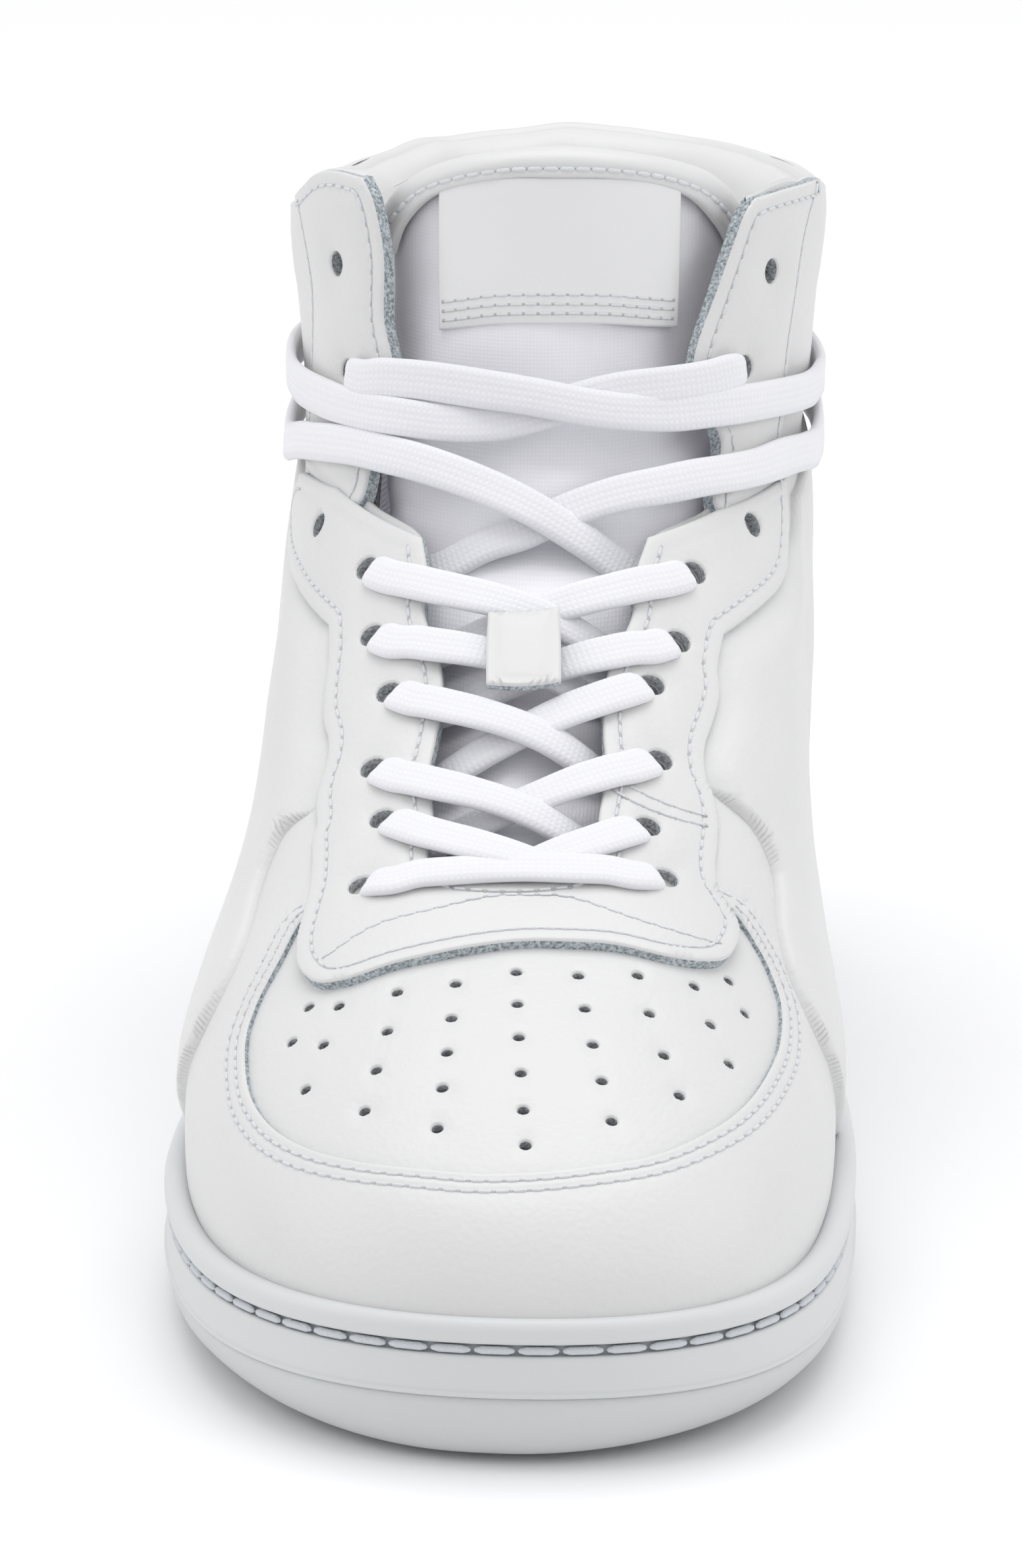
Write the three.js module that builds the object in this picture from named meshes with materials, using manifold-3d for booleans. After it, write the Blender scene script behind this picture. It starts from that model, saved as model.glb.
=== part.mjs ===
// Basketball high top, right shoe, in millimetres: toe toward -Y, lateral side toward -X, floor at z = 0.
// Every layer of the upper is an offset of one last-shaped skin. A place on the skin is (u, t): u counts
// stations round the last from the toe centre (0) along the lateral side (+) or the medial side (-) to the
// heel centre (9), t counts rows from the featherline (0) to the collar (9), and d is the depth off the skin.
import * as THREE from "three";
import { mergeVertices } from "three/addons/utils/BufferGeometryUtils.js";
import Module from "manifold-3d";

const wasm = await Module();
wasm.setup();
const { Manifold, CrossSection } = wasm;

// ---- driving dimensions ----
const FINENESS = 0.12; // facets flatter than this are merged
const INNER_FINENESS = 0.25; // and in the hidden layers
const HALF = 9; // stations from toe centre to heel centre
// half footprint of the last at the featherline: half width, distance forward or back of the origin
const FOOT = [
  [0, -144], [25, -137.5], [43.5, -112], [50.5, -66], [47.5, -20],
  [41, 26], [38, 72], [36, 107], [24.5, 134], [0, 144],
];
// rows of the last: front y, front z, back y, back z, half width, share of an oval plan, side z
const ROWS = [
  [-144, 17.6, 144, 19.5, 50.5, 0.0, 15.8],
  [-145.4, 26, 145.6, 35, 51.1, 0.05, 29],
  [-135, 39.5, 147, 53, 50.0, 0.15, 41],
  [-108, 53, 144, 69, 46.0, 0.45, 54],
  [-79, 63, 140, 83, 44.0, 0.75, 67],
  [-52, 74, 136.5, 95, 43.5, 0.95, 81],
  [-18, 94, 134, 108, 42.5, 1.0, 99],
  [8, 117, 133, 121, 42.0, 1.0, 119],
  [18, 141, 134, 133.5, 44.0, 1.0, 140],
  [22, 163, 136, 146, 46.0, 1.0, 159],
  [25, 183, 137, 158, 47.0, 1.0, 178],
];
const TOE_SWING = 6; // sideways turn of the toe toward the medial side
const OVAL_POWER = 2.2;

const BASE = [-1.5, 0]; // main leather, depths off the skin
const OVERLAY = [0.3, 1.7]; // leather laid over the main leather
const STIFFENER = [-2.6, -1.8];
const LINING = [-3.9, -2.9];
const COLLAR_FOAM = [-9.4, -2.1];
const COLLAR_LINING = [-11.0, -9.9];
const TONGUE = [-11.5, -5.7];
const TONGUE_TOP = [-14, -5.7];
const TRIM = [-5.4, -4.2];

const EYELET_RADIUS = 2.5;
const PERFORATION_RADIUS = 1.0;
const LACE_WIDTH = 6.2;
const LACE_THICKNESS = 1.6;
const LACE_POST = 1.5; // radius of the bunched lace inside an eyelet
const LACE_OVER = 3.05; // depth of the lace centre where it lies on the eyestay
const LACE_WRAP = 3.3; // around the ankle
const LACE_UNDER = -4.2; // and where it runs beneath it

const TOE_SPRING = 3.5;
const WALL_OUT = 5.2; // cupsole wall outside the last
const WALL_IN = 3.5; // and its inner face
const HEEL_RISE = 0.28; // how much thicker the sole is at the heel
// heights through the sole at the forefoot
const OUTSOLE_TOP = 8.0;
const BAND_FOOT = 8.3;
const GROOVE_FOOT = 15.2;
const GROOVE_TOP = 16.8;
const BEAD_TOP = 21.6;
const GROOVE_DEPTH = 1.0;

// lacing holes from the toe up, as (u, t), and the throat edge beside each of the first six
const EYELETS = [
  [1.46, 4.23], [1.35, 4.8], [1.5, 5.18], [1.42, 5.64], [1.7, 5.87],
  [1.84, 6.24], [2.61, 6.34], [2.33, 7.44], [2.48, 8.17],
];
const THROAT = [0.86, 0.86, 0.93, 0.86, 0.88, 1.14];

// ---- the skin ----
function bsplineClosed(points) {
  let c = points;
  for (let pass = 0; pass < 40; pass++)
    c = points.map((p, i) => {
      const a = c[(i + c.length - 1) % c.length], b = c[(i + 1) % c.length];
      return p.map((v, n) => (6 * v - a[n] - b[n]) / 4);
    });
  return c;
}
function bsplineOpen(points) {
  const c = points.map((p) => p.slice());
  const last = points.length - 1;
  for (let pass = 0; pass < 60; pass++)
    for (let i = 1; i < last; i++)
      c[i] = points[i].map((v, n) => (6 * v - c[i - 1][n] - c[i + 1][n]) / 4);
  const first = c[0].map((v, n) => 2 * v - c[1][n]);
  const end = c[last].map((v, n) => 2 * v - c[last - 1][n]);
  return [first, ...c, end];
}
function rowPoints([frontY, frontZ, backY, backZ, halfWidth, oval, sideZ]) {
  const points = [];
  for (let k = 0; k < 2 * HALF; k++) {
    const station = k <= HALF ? k : 2 * HALF - k;
    const side = k <= HALF ? -1 : 1;
    const along = (FOOT[station][1] + 144) / 288;
    const round = Math.max(0, 1 - Math.abs(2 * along - 1) ** OVAL_POWER) ** (1 / OVAL_POWER);
    const x = halfWidth * ((1 - oval) * (FOOT[station][0] / 50.5) + oval * round);
    const turn = Math.cos((Math.PI * station) / HALF);
    const z = sideZ + (frontZ - sideZ) * ((1 + turn) / 2) ** 3 + (backZ - sideZ) * ((1 - turn) / 2) ** 2;
    points.push([side * x, frontY + (backY - frontY) * along, z]);
  }
  return points;
}
const rings = ROWS.map((row) => bsplineClosed(rowPoints(row)));
const net = [];
for (let k = 0; k < 2 * HALF; k++) net.push(bsplineOpen(rings.map((ring) => ring[k])));
const TOP_ROW = ROWS.length - 1;
const weights = (f) => [(1 - f) ** 3, 3 * f ** 3 - 6 * f * f + 4, -3 * f ** 3 + 3 * f * f + 3 * f + 1, f ** 3];
const around = (i, n) => ((i % n) + n) % n;

function skin(u, t) {
  const row = Math.min(Math.max(t, 0), TOP_ROW);
  const i = Math.floor(u), j = Math.min(Math.floor(row), TOP_ROW - 1);
  const wu = weights(u - i), wt = weights(row - j);
  const p = new THREE.Vector3();
  for (let a = 0; a < 4; a++)
    for (let b = 0; b < 4; b++) {
      const c = net[around(i - 1 + a, 2 * HALF)][j + b];
      const w = (wu[a] * wt[b]) / 36;
      p.x += w * c[0];
      p.y += w * c[1];
      p.z += w * c[2];
    }
  p.x += TOE_SWING * Math.min(Math.max((-60 - p.y) / 89, 0), 1) ** 1.5;
  p.x += Math.min(Math.max((p.y + 40) / 60, 0), 1);
  return p;
}
function outward(u, t) {
  const h = 1e-3;
  const along = skin(u + h, t).sub(skin(u - h, t));
  const up = skin(u, Math.min(t + h, TOP_ROW)).sub(skin(u, Math.max(t - h, 0)));
  return up.cross(along).normalize();
}

// The skin sampled on a master grid, so that every layer has parallel facets.
const COLUMNS = 4 * HALF;
const grid = [];
for (let j = 0; j <= TOP_ROW; j++)
  for (let i = 0; i < COLUMNS; i++) grid.push({ at: skin(i / 2, j), out: outward(i / 2, j) });
const node = (i, j, d) => {
  const g = grid[j * COLUMNS + around(i, COLUMNS)];
  return g.at.clone().addScaledVector(g.out, d);
};
function place(u, t, d) {
  const column = Math.floor(u * 2), f = u * 2 - column;
  const row = Math.min(Math.max(Math.floor(t), 0), TOP_ROW - 1), g = t - row;
  const low = node(column, row, d), high = node(column + 1, row + 1, d);
  if (f >= g)
    return low.multiplyScalar(1 - f).addScaledVector(node(column + 1, row, d), f - g).addScaledVector(high, g);
  return low.multiplyScalar(1 - g).addScaledVector(node(column, row + 1, d), g - f).addScaledVector(high, f);
}

// ---- building helpers ----
function solidFrom(points, faces) {
  const vertProperties = new Float32Array(points.flatMap((p) => [p.x, p.y, p.z]));
  return new Manifold(new wasm.Mesh({ numProp: 3, vertProperties, triVerts: new Uint32Array(faces.flat()) }));
}
// A thick layer of the skin between two depths, from row to row and all the way round.
function layer([inner, outer], low = 0, high = HALF) {
  const up = high - low + 1;
  const points = [];
  for (const d of [inner, outer])
    for (let j = low; j <= high; j++) for (let i = 0; i < COLUMNS; i++) points.push(node(i, j, d));
  const id = (side, i, j) => (side * up + j) * COLUMNS + around(i, COLUMNS);
  const faces = [];
  for (let i = 0; i < COLUMNS; i++) {
    for (let j = 0; j < up - 1; j++)
      for (const side of [0, 1]) {
        const [a, b, c, d] = [id(side, i, j), id(side, i + 1, j), id(side, i + 1, j + 1), id(side, i, j + 1)];
        faces.push(...(side ? [[a, c, b], [a, d, c]] : [[a, b, c], [a, c, d]]));
      }
    for (const [j, flip] of [[0, true], [up - 1, false]]) {
      const [a, b, c, d] = [id(0, i, j), id(0, i + 1, j), id(1, i + 1, j), id(1, i, j)];
      faces.push(...(flip ? [[a, c, b], [a, d, c]] : [[a, b, c], [a, c, d]]));
    }
  }
  return solidFrom(points, faces);
}
// The thick region of the skin inside an outline of (u, t) points.
function region(outline, grow = 0, inner = -17, outer = 9) {
  let section = new CrossSection([outline], "EvenOdd");
  if (grow) section = section.offset(grow, "Miter");
  return section.extrude(0.1).refineToLength(1.05).warp((v) => {
    const p = place(v[0], v[1], outer + (inner - outer) * 10 * v[2]);
    [v[0], v[1], v[2]] = [p.x, p.y, p.z];
  });
}
const whole = (half) => [...half, ...half.slice().reverse().map(([u, t]) => [-u, t])];
const aboutHeel = (half) => [...half, ...half.slice().reverse().map(([u, t]) => [2 * HALF - u, t])];
const medial = (outline) => outline.map(([u, t]) => [-u, t]);
const panel = (depths, outline, low = 0, high = HALF) => layer(depths, low, high).intersect(region(outline));

function tube(a, b, radius, sides = 8) {
  const axis = b.clone().sub(a);
  const turn = new THREE.Quaternion().setFromUnitVectors(new THREE.Vector3(0, 0, 1), axis.clone().normalize());
  const m = new THREE.Matrix4().compose(a, turn, new THREE.Vector3(1, 1, 1));
  return Manifold.cylinder(axis.length(), radius, radius, sides).transform(m.toArray());
}
const peg = (u, t, from, to, radius, sides) => tube(place(u, t, from), place(u, t, to), radius, sides);
const join = (solids) => Manifold.union(solids);

// A flat band along (u, t, d) points, its width lying along the skin.
function band(path, width = LACE_WIDTH, thickness = LACE_THICKNESS) {
  const spots = [];
  path.forEach((p, i) => {
    if (i === 0) return spots.push(p);
    const q = path[i - 1];
    const cuts = [1]; // bend only where the path crosses a column of the master grid
    for (let c = Math.ceil(Math.min(p[0], q[0]) * 2); c <= Math.max(p[0], q[0]) * 2; c++)
      cuts.push((c / 2 - q[0]) / (p[0] - q[0]));
    const kept = cuts.filter((f) => f > 0.12 && (f === 1 || f < 0.88)).sort((a, b) => a - b);
    for (const f of kept) spots.push(p.map((v, n) => q[n] + (v - q[n]) * f));
  });
  const centre = spots.map(([u, t, d]) => place(u, t, d));
  const points = [], faces = [];
  centre.forEach((c, i) => {
    const ahead = centre[Math.min(i + 1, centre.length - 1)];
    const along = ahead.clone().sub(centre[Math.max(i - 1, 0)]).normalize();
    const [u, t] = spots[i];
    const out = place(u, t, 1).sub(place(u, t, 0)).normalize();
    const across = along.clone().cross(out).normalize();
    const up = across.clone().cross(along).normalize();
    for (const [a, b] of [[-1, -1], [1, -1], [1, 1], [-1, 1]])
      points.push(c.clone().addScaledVector(across, (a * width) / 2).addScaledVector(up, (b * thickness) / 2));
  });
  for (let i = 0; i < centre.length - 1; i++)
    for (let k = 0; k < 4; k++) {
      const [a, b] = [4 * i + k, 4 * i + ((k + 1) % 4)];
      faces.push([a, b, b + 4], [a, b + 4, a + 4]);
    }
  const end = 4 * (centre.length - 1);
  faces.push([0, 2, 1], [0, 3, 2], [end, end + 1, end + 2], [end, end + 2, end + 3]);
  const solid = solidFrom(points, faces);
  return solid.volume() < 0 ? solidFrom(points, faces.map(([a, b, c]) => [a, c, b])) : solid;
}

const group = new THREE.Group();
group.name = "basketball_high_top";
// The solid as a mesh whose vertices are all more than a micrometre apart.
function geometryOf(solid) {
  const { numProp, vertProperties, triVerts } = solid.getMesh();
  const positions = new Float32Array((vertProperties.length / numProp) * 3);
  for (let i = 0; i < positions.length / 3; i++)
    for (let n = 0; n < 3; n++) positions[3 * i + n] = vertProperties[numProp * i + n];
  const geometry = new THREE.BufferGeometry();
  geometry.setAttribute("position", new THREE.BufferAttribute(positions, 3));
  geometry.setIndex(new THREE.BufferAttribute(new Uint32Array(triVerts), 1));
  return mergeVertices(geometry, 2e-3);
}
function add(name, made, color, fineness = FINENESS) {
  const merged = geometryOf(made.simplify(fineness));
  const mesh3 = { numProp: 3, vertProperties: merged.attributes.position.array, triVerts: new Uint32Array(merged.index.array) };
  const solid = new Manifold(new wasm.Mesh(mesh3)).decompose().sort((a, b) => b.volume() - a.volume())[0];
  const mesh = new THREE.Mesh(geometryOf(solid), new THREE.MeshStandardMaterial({ color, roughness: 0.6 }));
  mesh.name = name;
  group.add(mesh);
}

const LEATHER = "#ececeb", SUEDE = "#a7b0b4", LINING_CLOTH = "#dcdce4", RUBBER = "#eef1f2", GUM = "#e3e6e6";
const FOAM = "#e8e4cf", BOARD = "#cfc9b8", COTTON = "#f5f6fa";

// ---- the sole ----
const EDGE_STEPS = COLUMNS;
const riseAt = (y) => 1 + HEEL_RISE * THREE.MathUtils.smoothstep(y, -40, 110);
const springAt = (y) => TOE_SPRING * Math.max(0, (-70 - y) / 80) ** 2;
function edgeLoop(out, level) {
  return Array.from({ length: EDGE_STEPS }, (_, k) => {
    const u = (k * 2 * HALF) / EDGE_STEPS;
    const p = skin(u, 0);
    const n = outward(u, 0).setZ(0).normalize();
    p.addScaledVector(n, out);
    p.z = level * riseAt(p.y) + springAt(p.y) * (0.45 + 0.55 * Math.min(level / BAND_FOOT, 1));
    return p;
  });
}
// A solid stack of loops given from the bottom up, capped at both ends.
function stack(levels) {
  const points = levels.flatMap(([out, level]) => edgeLoop(out, level));
  const faces = [];
  for (let j = 0; j < levels.length - 1; j++)
    for (let i = 0; i < EDGE_STEPS; i++) {
      const [a, b] = [j * EDGE_STEPS + i, j * EDGE_STEPS + ((i + 1) % EDGE_STEPS)];
      faces.push([a, b + EDGE_STEPS, b], [a, a + EDGE_STEPS, b + EDGE_STEPS]);
    }
  const cap = (base, up) => {
    for (let i = 1; i < EDGE_STEPS / 2; i++) {
      const [a, b] = [base + i, base + i + 1];
      const [c, d] = [base + around(-i, EDGE_STEPS), base + around(-i - 1, EDGE_STEPS)];
      const pair = b === d ? [[a, b, c]] : [[a, b, c], [b, d, c]];
      faces.push(...pair.map(([p, q, r]) => (up ? [p, r, q] : [p, q, r])));
    }
    const first = [base, base + 1, base + EDGE_STEPS - 1];
    faces.push(up ? [first[0], first[2], first[1]] : first);
  };
  cap(0, false);
  cap((levels.length - 1) * EDGE_STEPS, true);
  return solidFrom(points, faces);
}
function upright(solid) {
  return solid.volume() < 0 ? (() => { throw new Error("a stack is inside out"); })() : solid;
}

add("outsole", upright(stack([[0.6, 0], [3.3, 1.7], [4.8, 5.4], [5.0, OUTSOLE_TOP]])), GUM);
const shell = stack([
  [WALL_OUT - 0.2, BAND_FOOT], [WALL_OUT - 0.2, GROOVE_FOOT],
  [WALL_OUT - GROOVE_DEPTH, GROOVE_FOOT + 0.1], [WALL_OUT - GROOVE_DEPTH, GROOVE_TOP - 0.1],
  [WALL_OUT - 0.1, GROOVE_TOP + 0.3], [WALL_OUT, 19.2], [WALL_OUT - 1.0, BEAD_TOP],
]);
const cup = stack([[WALL_IN, 9.8], [WALL_IN, 17], [WALL_IN - 0.2, BEAD_TOP + 3]]);
add("cupsole", shell.subtract(cup), RUBBER);
const threadOuter = stack([[WALL_OUT + 0.2, GROOVE_FOOT + 0.45], [WALL_OUT + 0.2, GROOVE_TOP - 0.4]]);
const threadInner = stack([[WALL_OUT - 0.7, GROOVE_FOOT - 2], [WALL_OUT - 0.7, GROOVE_TOP + 2]]);
add("sole_stitch_thread", threadOuter.subtract(threadInner), "#b9c2c8");
const footbed = (levels) => stack(levels);
const foam = footbed([[WALL_IN - 0.5, 10.1], [WALL_IN - 3.2, 13.2]]);
const heelWell = Manifold.cylinder(20, 24, 24, 20).translate([0.9, 100, 12.6]);
add("foam_midsole", foam.subtract(heelWell), FOAM);
add("heel_cushion", Manifold.cylinder(2.6, 23.6, 23.6, 20).translate([0.9, 100, 13.0]), "#cdd7e6");
add("insole_board", footbed([[-4.6, 13.7], [-4.6, 15.0]]), BOARD);
add("sockliner", footbed([[-5.2, 15.4], [-5.8, 18.6]]), LINING_CLOTH);

// ---- panel outlines, lateral half ----
const WING_FRONT = [[3.4, -0.2], [3.0, 1.5], [2.72, 2.4], [2.62, 3.0], [2.69, 3.45], [2.62, 3.8], [2.46, 4.2], [2.16, 4.62]];
const EYESTAY_OUTER = [
  [0, 3.92], [0.45, 3.87], [0.97, 3.7], [1.42, 3.46], [1.7, 3.3], [1.95, 3.28], [2.06, 3.42], [2.02, 3.7],
  [2.0, 4.0], [2.07, 4.3], [2.08, 4.62], [2.04, 4.85], [1.98, 5.05], [2.04, 5.22], [2.16, 5.42], [2.16, 5.68],
  [2.3, 5.82], [2.6, 5.8], [3.1, 5.8], [3.36, 5.9], [3.5, 6.08], [3.44, 6.3], [3.25, 6.5], [2.7, 6.58],
];
const EYESTAY_INNER = [
  [2.0, 6.58], [1.22, 6.54], [1.12, 6.3], [1.12, 6.1], [0.87, 5.8], [0.85, 5.55], [0.93, 5.25], [0.85, 4.95],
  [0.83, 4.55], [0, 4.52],
];
const CUFF_FRONT = [[2.02, 6.72], [1.88, 7.05], [1.83, 7.3], [1.68, 7.6], [1.8, 7.95], [1.9, 8.4], [2.05, 8.72], [2.4, 8.88]];
// the collar's top edge from the cuff back to the heel: it dips at the ankle
const COLLAR_TOP = [[3.0, 8.78], [3.5, 8.67], [4.2, 8.56], [5.0, 8.5], [5.6, 8.55], [6.3, 8.64], [7.0, 8.75], [7.7, 8.87], [8.3, 8.98]];
const TOE_EDGE = [
  [2.1, 3.6], [2.28, 3.2], [2.36, 2.95], [2.34, 2.7], [2.2, 2.47], [2.0, 2.32], [1.72, 2.22], [1.4, 2.18],
  [1.0, 2.17], [0.5, 2.18], [0, 2.19],
];

const eyeletHoles = join([1, -1].flatMap((side) => EYELETS.map(([u, t]) => peg(side * u, t, -5, 5, EYELET_RADIUS, 7))));

const eyestayArea = whole([...EYESTAY_OUTER, ...EYESTAY_INNER]);
add("eyestay", panel(OVERLAY, eyestayArea, 3, 7).subtract(eyeletHoles), LEATHER);

const mudguardArea = whole([[0, -0.2], ...WING_FRONT.map(([u, t]) => [u - 0.03, t]), [2.12, 4.6], [2.1, 4.2], ...TOE_EDGE]);
add("mudguard",
  panel(OVERLAY, mudguardArea, 0, 5).subtract(region(eyestayArea, 0.02)), LEATHER);

const vampArea = whole([[0, -0.2], [3.6, -0.2], [3.3, 1.5], [3.0, 3.0], [2.9, 3.6], [2.6, 4.2], [2.3, 4.7], [0.9, 4.7], [0.86, 4.44], [0, 4.44]]);
// perforations in rows: how far out, first row, spacing along, and how many
const PERFORATIONS = [
  [0, 3.73, 0.265, 6], [0.55, 3.64, 0.28, 5], [1.08, 3.51, 0.315, 4], [1.58, 3.25, 0.33, 3], [1.93, 3.11, 0.3, 2],
];
const holes = PERFORATIONS.flatMap(([u, first, step, count]) =>
  (u ? [1, -1] : [1]).flatMap((side) =>
    Array.from({ length: count }, (_, k) =>
      peg(side * u * (1 + 0.035 * k), first - step * k, -2.2, 0.8, PERFORATION_RADIUS, 5))));
add("vamp_toe", panel(BASE, vampArea, 0, 5).subtract(join([...holes, eyeletHoles])), LEATHER);
add("toe_puff", panel(STIFFENER, whole([[0, 0.3], [2.0, 0.3], [1.9, 1.4], [1.3, 2.0], [0, 2.1]]), 0, 3), BOARD, INNER_FINENESS);
add("vamp_lining", panel(LINING, whole([[0, -0.2], [3.2, -0.2], [3.1, 3.0], [2.5, 3.9], [1.6, 4.0], [0, 4.0]]), 0, 5), LINING_CLOTH, INNER_FINENESS);

const quarterArea = [
  [3.63, -0.2], [3.33, 1.5], [3.03, 3.0], [2.93, 3.6], [2.63, 4.2], [2.34, 4.73], [0.9, 4.73],
  ...EYESTAY_INNER.slice(0, -3).reverse().map(([u, t]) => [u + 0.05, t]).filter(([, t]) => t > 4.8),
  [2.05, 6.65], ...CUFF_FRONT.slice(1).map(([u, t]) => [u + 0.05, t]), ...COLLAR_TOP, [HALF - 0.015, 9.2], [HALF - 0.015, -0.2],
];
const wingArea = [
  ...WING_FRONT, [2.14, 4.9], [2.04, 5.06], [2.1, 5.2], [2.22, 5.4], [2.22, 5.64], [2.34, 5.76], [2.6, 5.74],
  [3.12, 5.74], [3.4, 5.84], [3.56, 6.06], [3.5, 6.32], [3.4, 6.6], [5.2, 6.6], [5.7, 5.0], [5.5, 2.0], [5.25, -0.2],
];
const facingArea = [...CUFF_FRONT, [3.0, 8.78], [3.3, 8.71], [3.3, 8.4], [3.08, 8.05], [3.14, 7.2], [3.0, 6.85], [2.6, 6.72]];
const stripArea = [[0.98, 4.95], [1.9, 4.85], [1.9, 5.3], [2.1, 5.9], [2.2, 6.45], [1.3, 6.45], [1.22, 6.1], [0.98, 5.8], [1.05, 5.3]];
for (const [side, mirror] of [["lateral", (o) => o], ["medial", medial]]) {
  add("quarter_" + side,
    panel(BASE, mirror(quarterArea)).subtract(eyeletHoles).subtract(region(vampArea, 0.02)), LEATHER);
  add("wing_panel_" + side,
    panel(OVERLAY, mirror(wingArea), 0, 7).subtract(region(eyestayArea, 0.025)), LEATHER);
  add("cuff_facing_" + side, panel(OVERLAY, mirror(facingArea), 6, 9).subtract(eyeletHoles), LEATHER);
  add("eyestay_reinforcement_" + side, panel(STIFFENER, mirror(stripArea), 4, 7).subtract(eyeletHoles), SUEDE);
}
add("heel_counter", panel(OVERLAY,
  aboutHeel([[5.3, -0.2], [5.55, 2.0], [5.76, 5.0], [6.3, 5.7], [7.3, 6.4], [8.2, 6.65], [HALF, 6.7]]), 0, 7), LEATHER);
add("backstay", panel(OVERLAY, aboutHeel([[8.55, 6.78], [8.5, 8.92], [HALF, 8.94]]), 6, 9), LEATHER);
add("heel_stiffener", panel(STIFFENER, aboutHeel([[5.9, 0.3], [6.0, 3.2], [7.2, 4.6], [HALF, 4.9]]), 0, 5), BOARD, INNER_FINENESS);
add("quarter_lining", panel(LINING, aboutHeel([[3.26, -0.2], [3.16, 3.0], [3.0, 4.5], [3.0, 5.9], [HALF, 5.9]]), 0, 6), LINING_CLOTH, INNER_FINENESS);

const below = (drop) => COLLAR_TOP.slice(1).map(([u, t]) => [u, t - drop]);
const collarArea = aboutHeel([[3.3, 6.15], [3.3, 8.42], ...below(0.3), [HALF, 8.68]]);
add("collar_foam", panel(COLLAR_FOAM, collarArea, 6, 9), FOAM, INNER_FINENESS);
const rollUnder = [[HALF, 8.74], ...below(0.25).reverse(), [3.3, 8.46]];
const rollTop = [[3.3, 8.69], ...below(0.02), [HALF, 8.96]];
const roll = panel([COLLAR_LINING[0], BASE[0] - 0.3], [
  ...rollTop, ...rollTop.slice(0, -1).reverse().map(([u, t]) => [2 * HALF - u, t]),
  ...rollUnder.slice(1).reverse().map(([u, t]) => [2 * HALF - u, t]), ...rollUnder,
], 8, 9);
const liningWall = panel(COLLAR_LINING, aboutHeel([[3.3, 6.0], ...rollTop]), 6, 9);
add("collar_lining", roll.add(liningWall), LINING_CLOTH, INNER_FINENESS);

// ---- the tongue ----
const TONGUE_LEAN = 0.2;
const HINGE_T = 7.95; // row of the crease where the padded top folds back
const tongueHalf = [[0, 3.75], [1.05, 3.75], [1.4, 4.5], [1.6, 5.5], [1.95, 6.3], [2.25, 7.0], [2.38, 7.7]];
const leaning = (outline) => outline.map(([u, t]) => [u - TONGUE_LEAN, t]);
const topArea = leaning(whole([[0, HINGE_T], [2.38, HINGE_T], [2.42, 8.6], [2.28, 8.95], [1.86, 9.2], [1.1, 9.36], [0, 9.4]]));
const lowerTongue = panel(TONGUE, leaning(whole([...tongueHalf, [2.4, HINGE_T + 0.1], [0, HINGE_T + 0.1]])), 3, 9)
  .subtract(region(topArea, 0.02));
const upperTongue = panel(TONGUE_TOP, topArea, 7, 10);
add("tongue_lower", lowerTongue, LINING_CLOTH);
add("tongue_top", upperTongue, LINING_CLOTH);
add("tongue_trim", panel(TRIM,
  leaning(whole([[0, 9.34], [1.1, 9.3], [1.82, 9.14], [2.22, 8.9], [2.36, 8.6], [2.1, 8.7], [1.7, 8.9], [1.1, 9.02], [0, 9.05]])), 8, 10), LEATHER);
add("tongue_label", panel(TRIM, leaning(whole([[0, 9.01], [1.45, 8.94], [1.52, 7.99], [0, 7.99]])), 7, 10), LEATHER);
const bridge = (u, t0, t1, d0, d1) => region(whole([[0, t0], [u, t0], [u, t1], [0, t1]]), 0, d0, d1);
add("lace_keeper", join([bridge(0.34, 5.62, 6.1, 1.9, 2.9), bridge(0.09, 5.62, 5.65, -5.4, 2.2), bridge(0.09, 5.96, 5.99, -5.4, 2.2)]), LEATHER);

// ---- the lace ----
const strands = [];
const post = (side, k) => strands.push(peg(side * EYELETS[k][0], EYELETS[k][1], LACE_UNDER - 0.7, LACE_OVER + 0.7, LACE_POST, 5));
const first = EYELETS[0];
strands.push(band([[first[0] + 0.05, first[1], LACE_OVER], [0.7, 4.55, LACE_OVER], [0, 4.66, LACE_OVER],
  [-0.7, 4.55, LACE_OVER], [-first[0] - 0.05, first[1], LACE_OVER]]));
for (let k = 0; k < 5; k++)
  for (const side of [1, -1]) {
    const [u0, t0] = EYELETS[k], [u1, t1] = EYELETS[k + 1];
    const middle = side > 0 ? -1.8 : 0.2;
    const rise = Math.max((t0 + t1) / 2 + 0.06, 4.74);
    strands.push(band([
      [side * (u0 + 0.04), t0, LACE_UNDER], [side * (THROAT[k] - 0.25), t0 + 0.12, LACE_UNDER],
      [side * 0.3, rise - 0.03, middle - 0.4], [0, rise, middle], [-side * 0.36, rise + 0.02, middle + 0.2],
      [-side * (THROAT[k + 1] - 0.2), t1 - 0.05, LACE_OVER], [-side * (u1 + 0.04), t1, LACE_OVER],
    ]));
  }
for (const side of [1, -1]) for (let k = 0; k < 6; k++) post(side, k);
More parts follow.
